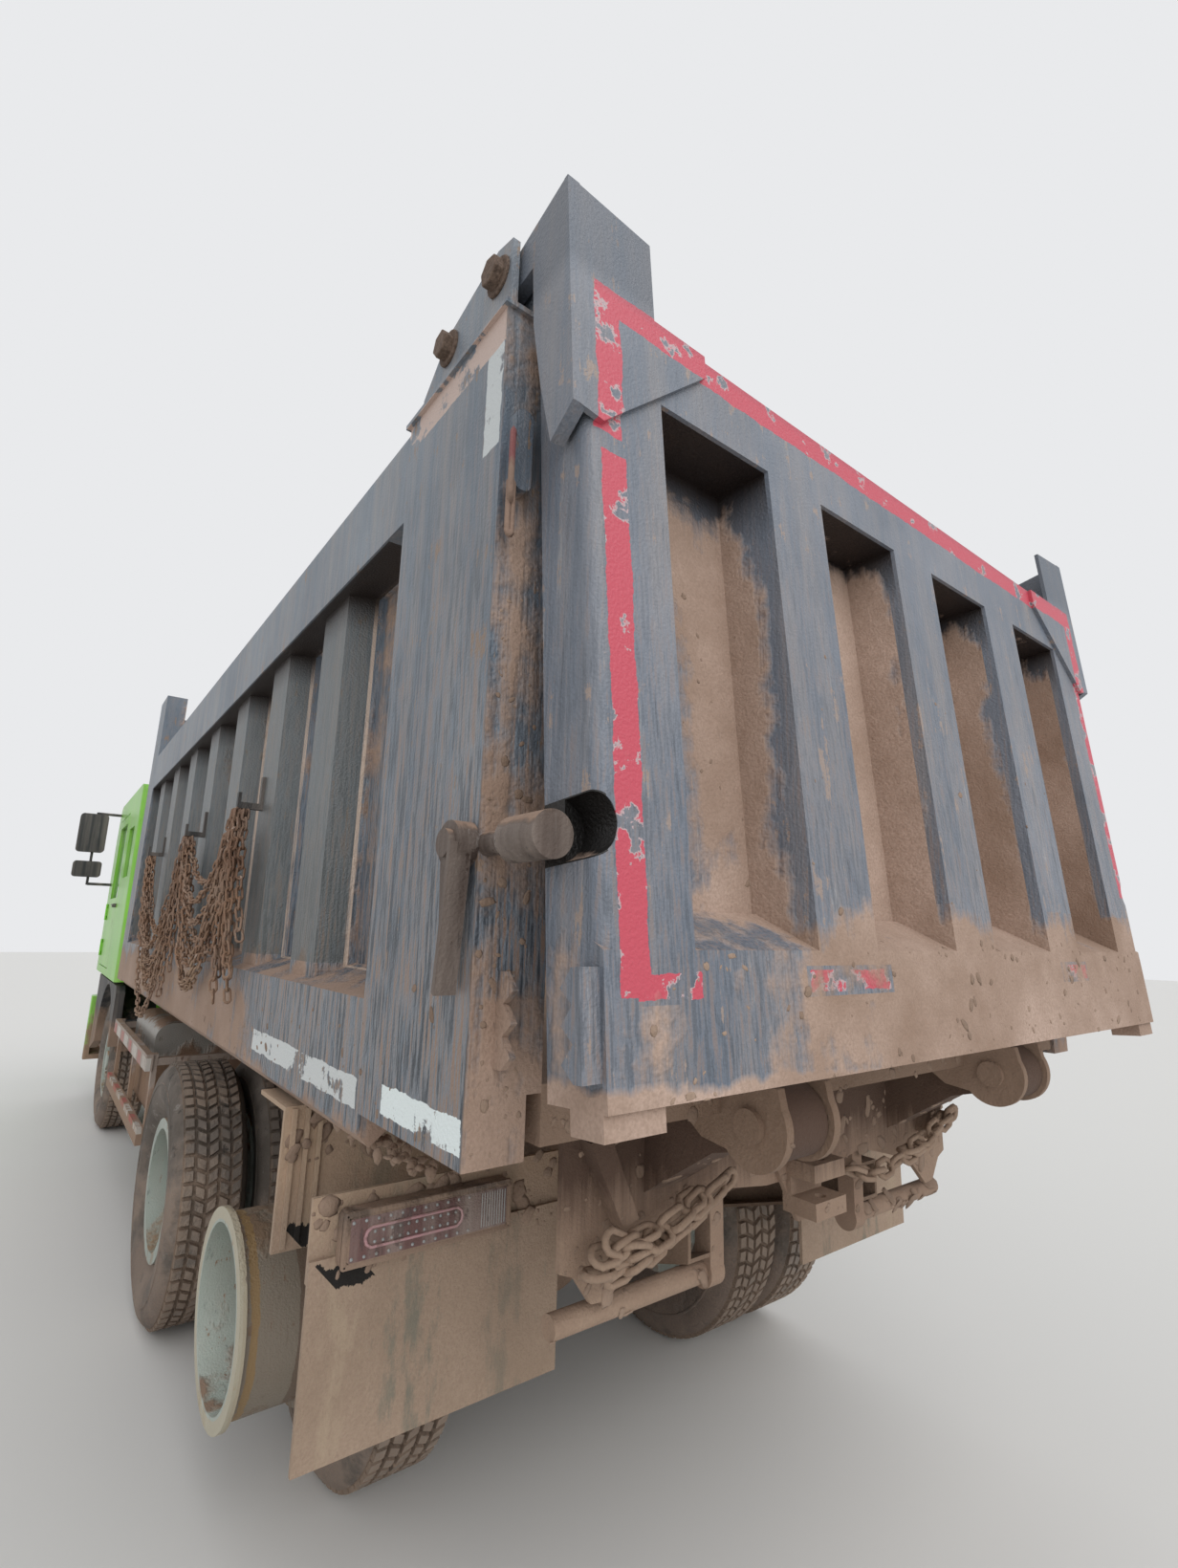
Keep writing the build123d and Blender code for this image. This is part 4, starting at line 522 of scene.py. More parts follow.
def flap_stains(tree, place, colour, streak):
    """Grey-green streaks where water has run down the flap, the plate above 1 m paler, partly clay and partly
    painted light, and the torn corner, black with wet.
    """
    axes = add(tree, "SeparateXYZ", {"Vector": place}, out=None)
    out = add(tree, "Math", {0: axes["Y"]}, operation="ABSOLUTE")
    drawn_out = add(tree, "Mapping", {"Vector": place, "Scale": (14, 14, 4)})
    spots = add(tree, "TexNoise", {"Vector": drawn_out, "Scale": 1.6, "Detail": 6.0, "Roughness": 0.7})
    for centre, reach, tint in ((0.98, 0.13, "#6a6c61"), (0.72, 0.1, "#7b7264"), (1.16, 0.08, "#a8957f")):
        beside = add(tree, "Math", {0: out, 1: centre}, operation="SUBTRACT")
        away = add(tree, "Math", {0: beside}, operation="ABSOLUTE")
        near = add(tree, "MapRange", {"Value": away, "From Min": reach, "From Max": 0.0})
        both = add(tree, "Math", {0: near, 1: 0.22, 2: spots}, operation="MULTIPLY_ADD")
        run = add(tree, "MapRange", {"Value": both, "From Min": 0.62, "From Max": 0.78, "To Max": 0.7})
        colour = add(tree, "Mix", {0: run, 6: colour, 7: linear(tint)}, out=2, data_type="RGBA")
    # The plate from 1 m up is lightened towards pale tan, partly for its thick clay and partly as painted
    # light.
    painted_light_on_plate = add(tree, "MapRange", {"Value": axes["Z"], "From Min": 1.0, "From Max": 1.12, "To Max": 0.4})
    colour = add(tree, "Mix", {0: painted_light_on_plate, 6: colour, 7: linear("#c4a88d")}, out=2, data_type="RGBA")
    across = add(tree, "Math", {0: axes["Z"], 1: -0.9, 2: axes["Y"]}, operation="MULTIPLY_ADD")
    ragged = add(tree, "Math", {0: spots, 1: 0.09, 2: axes["Z"]}, operation="MULTIPLY_ADD")
    torn = window(tree, across, ragged, (0.235, 0.335, 0.985, 1.035))
    return add(tree, "Mix", {0: torn, 6: colour, 7: linear("#1b1714")}, out=2, data_type="RGBA")


# Black rubber sheet that reads as clay: tan and matt, with the rubber dark only where it is wet.
flap_rubber = weathered("clay_on_flap_rubber", "#5d5a50", "#786f62", "#48403a", "#a99380", mud_top=1.6,
                        mud_fade=0.6, mud_more=0.02, wear=0.5, gloss=0.8, wet="#96826f", over=flap_stains)
dress(flap_rubber, "mud_flaps")


# Wheels
# Steel rims in chalky grey enamel, rusty at the seats. Each one is held by ten nuts on studs round
# its hub, which are rusty and greasy.

axles = {"front": 6781, "first": 2956, "second": 1606}
axle_height = 550
hands = (("left", 1), ("right", -1))


def spot(x, y, z):
    """Place in metres of a point drawn in millimetres from the rear face of the corner posts."""
    return Vector(((x - 3999) / 1000, y / 1000, z / 1000))


def at(x, y, z):
    """Shift to a place drawn in the same millimetres."""
    return Matrix.Translation(spot(x, y, z))


def copied(model, name, place):
    """Copy of a modelled piece with its own mesh, its place in the mesh."""
    made = bpy.data.objects.new(name, model.data.copy())
    made.data.transform(place)
    bpy.context.scene.collection.objects.link(made)
    return made


def joined(name, parts):
    """Several meshes made one piece."""
    bpy.ops.object.select_all(action="DESELECT")
    for part in parts:
        part.select_set(True)
    bpy.context.view_layer.objects.active = parts[0]
    bpy.ops.object.join()
    parts[0].name = name
    return parts[0]


def finish_piece(made, body, material):
    """Give a new piece its finish and the body that carries it."""
    made.data.materials.clear()
    made.data.materials.append(material)
    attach(made, body)


def drop(*models):
    """Clear away models that have been copied."""
    for model in models:
        bpy.data.objects.remove(model)


def bevelled_disc(sides, radius, thick, edge, segments):
    """Disc or hexagon standing across the lorry, with its edges bevelled."""
    bpy.ops.object.select_all(action="DESELECT")
    bpy.ops.mesh.primitive_cylinder_add(vertices=sides, radius=radius, depth=thick,
                                        rotation=(math.pi / 2, 0, 0))
    made = bpy.context.object
    bpy.ops.object.transform_apply(location=False, rotation=True, scale=False)
    bpy.ops.object.mode_set(mode="EDIT")
    bpy.ops.mesh.select_mode(type="FACE")
    bpy.ops.mesh.select_all(action="SELECT")
    bpy.ops.mesh.bevel(offset=edge, segments=segments, affect="EDGES")
    bpy.ops.mesh.select_all(action="DESELECT")
    bpy.ops.object.mode_set(mode="OBJECT")
    return made


def seat_bands(tree, place, colour, streak):
    """Bands of rust and yellow-brown clay where the missing tyre sat on the barrel and its flanges."""
    axes = add(tree, "SeparateXYZ", {"Vector": place}, out=None)
    middle = spot(axles["second"], 0, axle_height)
    ahead = add(tree, "Math", {0: axes["X"], 1: middle.x}, operation="SUBTRACT")
    above = add(tree, "Math", {0: axes["Z"], 1: middle.z}, operation="SUBTRACT")
    flat = add(tree, "CombineXYZ", {"X": ahead, "Y": above})
    away = add(tree, "VectorMath", {0: flat}, out="Value", operation="LENGTH")
    on_barrel = add(tree, "Math", {0: away, 1: 0.264}, operation="GREATER_THAN")
    wavy = add(tree, "Math", {0: streak, 1: 0.03, 2: axes["Y"]}, operation="MULTIPLY_ADD")
    bands = [(0.99, 1.225, "#75604d", 0.75), (1.215, 1.24, "#b5aa93", 0.8), (1.175, 1.2, "#94784f", 0.85),
             (1.02, 1.06, "#5d4636", 0.6)]
    for low, high, tint, share in bands:
        inside = add(tree, "Math", {0: wavy, 1: (low + high) / 2, 2: (high - low) / 2}, operation="COMPARE")
        colour = stained(tree, colour, tint, inside, on_barrel, share)
    return colour


# Grey enamel gone chalky, dull and pale, with rust in its chips; the bare one has rust bands too.
chalky = {"mud_top": 0.7, "mud_fade": 1.6, "wear": 0.5, "gloss": 0.55}
rim_enamel = weathered("chalky_rim_enamel", "#929b92", "#adb3aa", "#8a6a50", "#a58a68", **chalky)
bare_rim = weathered("rusty_bare_rim", "#98a198", "#b2b8af", "#8a6a50", "#a58a68", over=seat_bands, **chalky)
for name in nodes:
    if "_wheel" in name:
        dress(bare_rim if name == "second_rear_wheels_left" else rim_enamel, name)

# Turned steel nuts, brown with rust and greasy enough to keep a faint shine.
nut_steel = weathered("rusty_wheel_nuts", "#6b5646", "#7f6a58", "#3f2c22", "#8f755c", mud_top=0.9,
                      mud_fade=0.8, mud_more=0.05, wear=0.5, gloss=0.6, metal=0.4)
nut = bevelled_disc(6, 0.0185, 0.026, 0.002, 1)
for face in nut.data.polygons:
    face.select = abs(face.normal.y) > 0.99
bpy.ops.object.mode_set(mode="EDIT")
bpy.ops.mesh.inset(thickness=0.006, depth=0.0, use_individual=True)
bpy.ops.mesh.inset(thickness=0.001, depth=0.014, use_individual=True)
bpy.ops.object.mode_set(mode="OBJECT")
nut_count, stud_ring = 10, 142
hub_faces = {"front": 1107, "first": 950, "second": 950}
for row, hub_y in hub_faces.items():
    for side, sign in hands:
        ring = []
        for count in range(nut_count):
            angle = 2 * math.pi * (count + 0.5) / nut_count
            ring.append(copied(nut, "nut", at(axles[row] + stud_ring * math.cos(angle), sign * hub_y,
                                              axle_height + stud_ring * math.sin(angle))))
        nuts = joined(f"wheel_nuts_{row}_{side}", ring)
        hub = f"front_wheel_{side}" if row == "front" else f"{row}_rear_{side}"
        finish_piece(nuts, hub, nut_steel)
drop(nut)


# Tyres
# Lorry tyres, worn and packed with clay: five rows of blocks, each row half a block on from the
# last, round a heavy carcass, then a shoulder, a bulged wall with a raised ring, and the bead
# inside the rim's flange.

tread_rows, tread_columns = 5, 64
groove_radius, tread_half, block_height = 0.535, 0.116, 0.0145
tread_starts = 0.5
bead_radius = 0.284
wall = [(0.012, 0.014), (0.022, 0.0145), (0.040, 0.006)]
raised_ring = [(0.003, 0.0035), (0.006, 0.0), (0.003, -0.0035)]
to_bead = [(0.055, -0.002), (0.034, -0.016), (0.040, -0.025), (0.014, -0.006), (0.0255, -0.001)]


def from_axle(place):
    """Distance of a place from the wheel's axle."""
    return math.hypot(place.x, place.z)


bpy.ops.object.select_all(action="DESELECT")
bpy.ops.mesh.primitive_cylinder_add(vertices=tread_columns, radius=groove_radius, depth=2 * tread_half,
                                    rotation=(math.pi / 2, 0, 0))
carcass = bpy.context.object
bpy.ops.object.transform_apply(location=False, rotation=True, scale=False)
tyre = carcass.data
for face in tyre.polygons:
    face.select = abs(face.normal.y) > 0.99
bpy.ops.object.mode_set(mode="EDIT")
bpy.ops.mesh.select_mode(type="FACE")
for inwards, out in wall + raised_ring + to_bead:
    bpy.ops.mesh.inset(thickness=inwards, depth=out, use_individual=True)
bpy.ops.mesh.delete(type="FACE")
bpy.ops.object.mode_set(mode="OBJECT")

# The two beads are bridged inside the rim.
for edge in tyre.edges:
    edge.select = all(from_axle(tyre.vertices[end].co) < bead_radius for end in edge.vertices)
bpy.ops.object.mode_set(mode="EDIT")
bpy.ops.mesh.select_mode(type="EDGE")
bpy.ops.mesh.bridge_edge_loops()
bpy.ops.mesh.select_all(action="DESELECT")
bpy.ops.object.mode_set(mode="OBJECT")

# The tread is cut into rows, and every other seam is turned half a block, which slants the blocks.
for edge in tyre.edges:
    one, two = [tyre.vertices[end].co for end in edge.vertices]
    edge.select = abs(one.y - two.y) > 0.2 and from_axle(one) > tread_starts
bpy.ops.object.mode_set(mode="EDIT")
bpy.ops.mesh.subdivide(number_cuts=tread_rows - 1)
bpy.ops.mesh.select_all(action="DESELECT")
bpy.ops.object.mode_set(mode="OBJECT")
row_width = 2 * tread_half / tread_rows
for point in tyre.vertices:
    seam = round((point.co.y + tread_half) / row_width)
    inside = abs(point.co.y) < tread_half - 0.01 and from_axle(point.co) > tread_starts
    point.select = inside and seam % 2 == 1
bpy.ops.object.mode_set(mode="EDIT")
bpy.ops.mesh.select_mode(type="VERT")
bpy.ops.transform.rotate(value=math.pi / tread_columns, orient_axis="Y", center_override=(0, 0, 0))
bpy.ops.mesh.select_all(action="DESELECT")
bpy.ops.object.mode_set(mode="OBJECT")

# Each face of the tread is drawn out to a block, with the grooves left between them.
for face in tyre.polygons:
    outside = from_axle(face.center) > tread_starts and abs(face.normal.y) < 0.3
    face.select = abs(face.center.y) < tread_half and outside
bpy.ops.object.mode_set(mode="EDIT")
bpy.ops.mesh.select_mode(type="FACE")
bpy.ops.mesh.inset(thickness=0.0045, depth=0.0, use_individual=True)
bpy.ops.mesh.inset(thickness=0.003, depth=block_height, use_individual=True)
bpy.ops.object.mode_set(mode="OBJECT")

# Worn black rubber, grey-brown and matt with dust on the walls; clay that fills the grooves, wet
# and dark; and the blocks' tops, rubbed pale by the road. On the rubber the dust lies in round
# spots of 70 mm.
dusty_tyre = {"mud_top": 1.3, "mud_fade": 2.6}
tyre_rubber = weathered("worn_tyre_rubber", "#4d463f", "#625951", "#38332e", "#85776b", mud_more=0.02,
                        wear=0.45, gloss=0.85, wet="#645850", upright=(9, 9, 9), **dusty_tyre)
packed_clay = weathered("clay_packed_in_tread", "#554b42", "#6a5e53", "#2f2a26", "#8d7b6b", mud_more=0.1,
                        wear=0.3, gloss=0.95, wet="#6a5b4e", **dusty_tyre)
block_rubber = weathered("clay_on_tread_blocks", "#6b625a", "#857a70", "#38332e", "#9f8f80", mud_more=0.06,
                         wear=0.45, gloss=0.9, wet="#7f7165", upright=(9, 9, 9), **dusty_tyre)
wall_slot, groove_slot, block_slot = range(3)
for material in (tyre_rubber, packed_clay, block_rubber):
    tyre.materials.append(material)
for face in tyre.polygons:
    in_groove = from_axle(face.center) < groove_radius + block_height - 0.002
    on_tread = from_axle(face.center) > tread_starts and abs(face.center.y) < tread_half
    face.material_index = wall_slot if not on_tread else groove_slot if in_groove else block_slot
bpy.ops.object.select_all(action="DESELECT")
carcass.select_set(True)
bpy.ops.object.shade_smooth_by_angle(angle=math.radians(32))


def fit_tyre(name, row, y, turn, body, solid):
    """Put a tyre on its rim, turned so that the blocks of a pair don't line up."""
    made = copied(carcass, name, at(axles[row], y, axle_height) @ Matrix.Rotation(turn, 4, "Y"))
    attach(made, body)
    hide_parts(solid)


for row, turn in (("first", 4.5), ("second", 5.4)):
    for side, sign in hands:
        for lane, y, extra in (("inner", 750, 0.0), ("outer", 1095, 0.4)):
            if (row, side, lane) != ("second", "left", "outer"):
                fit_tyre(f"tyre_{row}_{side}_{lane}", row, sign * y, turn + extra, f"{row}_rear_{side}",
                         f"{row}_rear_tyres_{side}")
for side, sign in hands:
    fit_tyre(f"tyre_front_{side}", "front", sign * 1020, 0.3, f"front_wheel_{side}", f"front_tyre_{side}")
drop(carcass)


# Side chains
# Bundles of welded steel chain hung from three hooks on the ribs and draped from hook to hook over
# the left side. Short oval links, brown with rust and dried clay, rubbed grey where they swing.

def oval_link(wire, width, length):
    """One welded link: a bent round bar, drawn out straight along its sides."""
    bpy.ops.object.select_all(action="DESELECT")
    bpy.ops.mesh.primitive_torus_add(major_radius=(width - wire) / 2, minor_radius=wire / 2,
                                     major_segments=10, minor_segments=5)
    made = bpy.context.object
    reach = (length - width) / 2
    for sign in (-1, 1):
        bpy.ops.object.mode_set(mode="EDIT")
        bpy.ops.mesh.select_mode(type="VERT")
        bpy.ops.mesh.select_all(action="DESELECT")
        bpy.ops.object.mode_set(mode="OBJECT")
        for point in made.data.vertices:
            point.select = point.co.x * sign > 0.0001
        bpy.ops.object.mode_set(mode="EDIT")
        bpy.ops.transform.translate(value=(sign * reach, 0, 0))
        bpy.ops.mesh.select_all(action="DESELECT")
        bpy.ops.object.mode_set(mode="OBJECT")
    bpy.ops.object.shade_smooth()
    return made


def drape(start, end, sag, pitch, lean=0.0):
    """Joints of a chain hung between two places, one link apart, bulging outwards by lean."""
    steps = 400
    fine = []
    for count in range(steps + 1):
        t = count / steps
        point = start.lerp(end, t)
        point.z -= 4 * sag * t * (1 - t)
        point.y += lean * math.sin(math.pi * t) + 0.003 * math.sin(37 * t)
        fine.append(point)
    joints, run = [fine[0]], 0.0
    for one, two in zip(fine, fine[1:]):
        run += (two - one).length
        if run >= pitch:
            joints.append(two)
            run -= pitch
    return joints


def strung(link, joints, roll):
    """Links placed joint to joint, each turned a quarter from the one before and a little loose."""
    made = []
    for count, (one, two) in enumerate(zip(joints, joints[1:])):
        along = (two - one).normalized()
        aside = along.cross(Vector((0, 1, 0))).normalized()
        pointed = Matrix((along, aside, along.cross(aside))).transposed().to_4x4()
        loose = 0.35 * math.sin(2.1 * count + roll)
        twist = Matrix.Rotation(math.pi / 2 * (count % 2) + roll + loose, 4, "X")
        made.append(copied(link, "link", Matrix.Translation((one + two) / 2) @ pointed @ twist))
    return made


# Bare chain steel with brown rust and clay in its corners, in round spots of 45 mm, so that whole
# links differ from their neighbours.
chain_rust = weathered("rusty_clay_caked_chain", "#6b4f3d", "#a07e64", "#4d3528", "#a3886f", mud_top=1.9,
                       mud_fade=1.0, wear=0.6, gloss=0.75, metal=0.1, upright=(14, 14, 14))
small_wire, small_length = 0.0095, 0.058
small_link = oval_link(small_wire, 0.034, small_length)
small_pitch = small_length - 2 * small_wire

# Each strand is chosen from the photograph's bundle: along and up at its start and at its
# end, and its sag, in millimetres, then how far it lies out from the ribs, in metres.
near, middle, far = 1800, 2960, 4400
drapes = [
    (near, 2186, near - 110, 1490, 0, 0.012), (near + 10, 2186, near - 70, 1600, 20, 0.03),
    (near - 8, 2186, near - 150, 1700, 10, 0.0), (near, 2188, near + 60, 1560, 30, 0.02),
    (near, 2186, middle, 2186, 250, 0.0), (near + 8, 2184, middle - 8, 2184, 420, 0.03),
    (near - 6, 2184, middle + 6, 2184, 560, 0.012), (near, 2182, middle, 2182, 690, 0.035),
    (near + 120, 2100, middle - 200, 2040, 480, 0.045), (near, 2186, near + 260, 1660, 180, 0.03),
    (middle, 2186, middle + 40, 1500, 0, 0.02), (middle + 10, 2186, middle + 220, 1380, 120, 0.03),
    (middle, 2186, far, 2186, 480, 0.0), (middle + 6, 2184, far - 6, 2184, 640, 0.025),
    (middle - 6, 2184, far + 8, 2184, 790, 0.012), (middle, 2182, far, 2182, 930, 0.035),
    (middle + 20, 2150, far - 300, 1900, 560, 0.045), (far, 2186, far - 60, 1700, 0, 0.01),
    (far - 8, 2184, far - 180, 1620, 60, 0.03), (near - 4, 2182, middle + 4, 2182, 330, 0.045),
    (near + 4, 2188, middle - 4, 2188, 500, 0.0), (near + 60, 2150, middle - 90, 2120, 620, 0.05),
    (middle + 4, 2182, far - 4, 2182, 560, 0.045), (middle - 4, 2188, far + 4, 2188, 720, 0.0),
    (near - 14, 2184, near - 190, 1560, 40, 0.045), (near + 14, 2184, near + 10, 1480, 0, 0.045),
]
links = []
for count, (x1, z1, x2, z2, sag, out) in enumerate(drapes):
    start, end = spot(x1, 0, z1), spot(x2, 0, z2)
    start.y = end.y = 1.272 + out * 0.7
    links += strung(small_link, drape(start, end, sag / 1000, small_pitch, lean=0.008), 0.7 * count)
bundle = joined("side_chain_bundle", links)
finish_piece(bundle, "bed", chain_rust)
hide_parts("side_chains")
drop(small_link)


# Tow chain
# A heavier chain that lies over the left gusset of the cross member and up behind the hinge, and
# from the jaw to the right wing. Its links are caked with the same clay as the steel below.

# Wet clay over chain steel: matt and lumpy, hardly told from the crust it lies on.
caked_chain = weathered("clay_caked_tow_chain", "#8b7361", "#a38b77", "#6d5546", "#a58d79", mud_top=3.0,
                        mud_fade=1.2, mud_more=0.1, wear=0.3, gloss=0.9, wet="#86705e", upright=(14, 14, 14))
heavy_wire, heavy_length = 0.018, 0.09
heavy_link = oval_link(heavy_wire, 0.062, heavy_length)
heavy_pitch = heavy_length - 2 * heavy_wire

# Each run keeps to a lane, so many millimetres ahead of the posts' rear faces; its places give
# across, up and the sag of the chain that comes to them.
routes = [
    (204, [(822, 1052, 0), (700, 1068, 12), (515, 1108, 10), (330, 1186, 0)]),
    (196, [(812, 1086, 0), (690, 1104, 8), (600, 1122, 6), (455, 1160, 0)]),
    (188, [(790, 1120, 0), (730, 1090, 6), (640, 1086, 8), (520, 1136, 6), (400, 1180, 0)]),
    (210, [(760, 1030, 0), (650, 1052, 6), (560, 1090, 0)]),
    (204, [(330, 1186, 0), (262, 1214, 0)]),
    (204, [(-140, 1100, 0), (-380, 1085, 22), (-620, 1135, 12), (-810, 1195, 0)]),
    (194, [(-420, 1110, 0), (-600, 1150, 14), (-780, 1190, 0)]),
]
links = []
for count, (lane, route) in enumerate(routes):
    joints = []
    for (y1, z1, _), (y2, z2, sag) in zip(route, route[1:]):
        joints += drape(spot(lane, y1, z1), spot(lane, y2, z2), sag / 1000, heavy_pitch)
    spaced = [joints[0]]
    for joint in joints[1:]:
        if (joint - spaced[-1]).length > 0.8 * heavy_pitch:
            spaced.append(joint)
    links += strung(heavy_link, spaced, 0.5 * count)
tow = joined("tow_chain_links", links)
finish_piece(tow, "chassis", caked_chain)
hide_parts("tow_chain")
drop(heavy_link)


# Tail lamps
# Long moulded lamps: a muddy frame, a brownish red lens, a pink light tube bent to a long loop with
# small lights in rows inside and outside it, and a clear ribbed end for reversing.

def pressed_block(size, edge, segments=2):
    """Box of a given size with its edges rounded off."""
    bpy.ops.object.select_all(action="DESELECT")
    bpy.ops.mesh.primitive_cube_add(size=1)
    made = bpy.context.object
    bpy.ops.transform.resize(value=size)
    bpy.ops.object.transform_apply(location=False, rotation=False, scale=True)
    bpy.ops.object.mode_set(mode="EDIT")
    bpy.ops.mesh.select_all(action="SELECT")
    bpy.ops.mesh.bevel(offset=edge, segments=segments, affect="EDGES")
    bpy.ops.object.mode_set(mode="OBJECT")
    bpy.ops.object.shade_smooth_by_angle(angle=math.radians(32))
    return made


# Moulded acrylic under road dirt: a dull brown-red lens, a milky pink tube and clear grey ribs, each
# with a low shine, in a frame of black plastic that shows only as mud.
lens_red = weathered("lamp_lens", "#5c3f3c", "#76544f", "#4a3835", "#8f7c6c", mud_top=1.13, mud_fade=0.9,
                     wear=0.35, gloss=0.3, film=0.7)
glow_pink = weathered("pink_light_tube", "#b3868a", "#c59a9c", "#8a6a66", "#a08a7b", mud_top=1.02,
                      mud_fade=0.12, wear=0.3, gloss=0.3, film=0.5)
clear_ribs = weathered("clear_ribbed_lens", "#8f9393", "#a7abaa", "#7c766e", "#a08a7b", mud_top=1.0,
                       mud_fade=0.1, wear=0.3, gloss=0.22, film=0.5)
lamp_frame = weathered("muddy_lamp_frame", "#55483e", "#6f5d50", "#3b332d", "#8f7a69", mud_top=1.2,
                       mud_fade=0.3, mud_more=0.05, wear=0.3, gloss=0.75)
dress(lamp_frame, "rear_lamps", "headlamps")

lamp_x, lamp_y, lamp_z = 648, 965, 1051
rib = pressed_block((0.004, 0.0035, 0.082), 0.0012, 1)
bpy.ops.object.select_all(action="DESELECT")
bpy.ops.mesh.primitive_uv_sphere_add(segments=10, ring_count=6, radius=0.0042)
bulb = bpy.context.object
bpy.ops.object.shade_smooth()
long_bar = pressed_block((0.012, 0.446, 0.014), 0.004)
short_bar = pressed_block((0.012, 0.014, 0.118), 0.004)
lens_plate = pressed_block((0.004, 0.418, 0.092), 0.0015)
for side, sign in hands:
    tube = oval_link(0.0085, 0.054, 0.262)
    tube.data.transform(at(lamp_x - 1, sign * 1012, lamp_z) @ Matrix.Rotation(math.pi / 2, 4, "Y")
                        @ Matrix.Rotation(math.pi / 2, 4, "Z"))
    tube.name = f"lamp_tube_{side}"
    finish_piece(tube, "chassis", glow_pink)
    dots = [copied(bulb, "dot", at(lamp_x, sign * (first + apart * count), lamp_z + up))
            for first, apart, off in ((905, 21, 11), (868, 30, 38))
            for count in range(11) for up in (-off, off)]
    finish_piece(joined(f"lamp_dots_{side}", dots), "chassis", clear_ribs)
    ribs = [copied(rib, "rib", at(lamp_x, sign * (762 + 7.5 * count), lamp_z)) for count in range(10)]
    finish_piece(joined(f"lamp_ribs_{side}", ribs), "chassis", clear_ribs)
    bars = [copied(long_bar, "bar", at(lamp_x + 6, sign * lamp_y, lamp_z + up)) for up in (-54, 54)]
    bars += [copied(short_bar, "bar", at(lamp_x + 6, sign * end, lamp_z)) for end in (746, 1183)]
    finish_piece(joined(f"lamp_frame_{side}", bars), "chassis", lamp_frame)
for side, sign in hands:
    lens = copied(lens_plate, f"lamp_lens_{side}", at(lamp_x + 1, sign * lamp_y, lamp_z))
    finish_piece(lens, "chassis", lens_red)
drop(rib, bulb, long_bar, short_bar, lens_plate)


# Cab fittings
# Wipers and door handles in black plastic, a row of orange marker lamps on the roof deflector, and
# clear domed glasses over the headlamps' reflectors.

# Moulded black plastic, smoother than the trim; orange acrylic with a strong shine; and clear glass
# that reads as pale grey over its reflector. Little dust stays on any of them.
wiper_black = weathered("black_wiper_plastic", "#141516", "#222324", "#2a2725", "#5b4c40", mud_top=1.0,
                        mud_fade=0.4, wear=0.1, gloss=0.5, lying=0.1)
marker_orange = weathered("orange_marker_lens", "#c9701c", "#d98a3a", "#a05a1e", "#8f7b69", mud_top=1.0,
                          mud_fade=0.4, wear=0.1, gloss=0.2, lying=0.1)
bowl_glass = weathered("clear_headlamp_glass", "#a9b0b2", "#c2c8c9", "#8f8a82", "#8f7b69", mud_top=0.62,
                       mud_fade=0.2, wear=0.15, gloss=0.12, film=0.2, lying=0.1)

screen_slope = math.atan2(0.25, 1.02)
leaning = Matrix.Rotation(-screen_slope, 4, "Y")
blade = pressed_block((0.012, 0.62, 0.016), 0.003)
arm = pressed_block((0.010, 0.016, 0.50), 0.003)
wipers = []
for y in (-560, 120):
    wipers.append(copied(blade, "blade", at(8172, y, 2062) @ leaning @ Matrix.Rotation(0.12, 4, "X")))
    wipers.append(copied(arm, "arm", at(8187, y + 130, 2015) @ leaning @ Matrix.Rotation(1.25, 4, "X")))
finish_piece(joined("wipers", wipers), "cab", wiper_black)

handle_x, handle_z = 7040, 1905
grip = pressed_block((0.17, 0.018, 0.03), 0.006)
post = pressed_block((0.026, 0.03, 0.034), 0.005)
for side, sign in hands:
    handle = [copied(grip, "grip", at(handle_x, sign * 1262, handle_z))]
    handle += [copied(post, "post", at(handle_x + end, sign * 1249, handle_z)) for end in (-72, 72)]
    finish_piece(joined(f"door_handle_{side}", handle), f"door_{side}", wiper_black)

marker = pressed_block((0.05, 0.11, 0.035), 0.01)
markers = [copied(marker, "marker", at(7660, y, 3098)) for y in (-900, -450, 0, 450, 900)]
finish_piece(joined("roof_markers", markers), "cab", marker_orange)

bpy.ops.object.select_all(action="DESELECT")
bpy.ops.mesh.primitive_uv_sphere_add(segments=24, ring_count=12, radius=0.071, rotation=(0, math.pi / 2, 0))
bowl = bpy.context.object
bpy.ops.object.transform_apply(location=False, rotation=True, scale=False)
bowl.data.transform(Matrix.Diagonal((0.2, 1, 1, 1)))
bpy.ops.object.shade_smooth()
bowls = [copied(bowl, "bowl", at(8268, sign * y, 740)) for _, sign in hands for y in (855, 1045)]
finish_piece(joined("headlamp_bowls", bowls), "chassis", bowl_glass)
drop(blade, arm, grip, post, marker, bowl)


# Bolts and strap
# Muddy hexagon heads on washers, on the cheeks of the gate's hinge, and a faded red strap left
# hanging from its hook on the rear post.

# Steel that shows only as dark dried clay.
bolt_mud = weathered("clay_caked_bolts", "#3f352f", "#5a4c42", "#2c231d", "#66554a", mud_top=3.4,
                     mud_fade=0.4, wear=0.4, gloss=0.8, wet="#4b3c32")
head = bevelled_disc(6, 0.034, 0.026, 0.003, 2)
washer = bevelled_disc(28, 0.044, 0.008, 0.002, 1)
for side, sign in hands:
    fixed = []
    for x, z in ((48, 3156), (283, 3144)):
        fixed.append(copied(washer, "washer", at(x, sign * 1252, z)))
        fixed.append(copied(head, "head", at(x, sign * 1266, z) @ Matrix.Rotation(0.4 + x, 4, "Y")))
    finish_piece(joined(f"hinge_bolts_{side}", fixed), "bed", bolt_mud)
drop(head, washer)

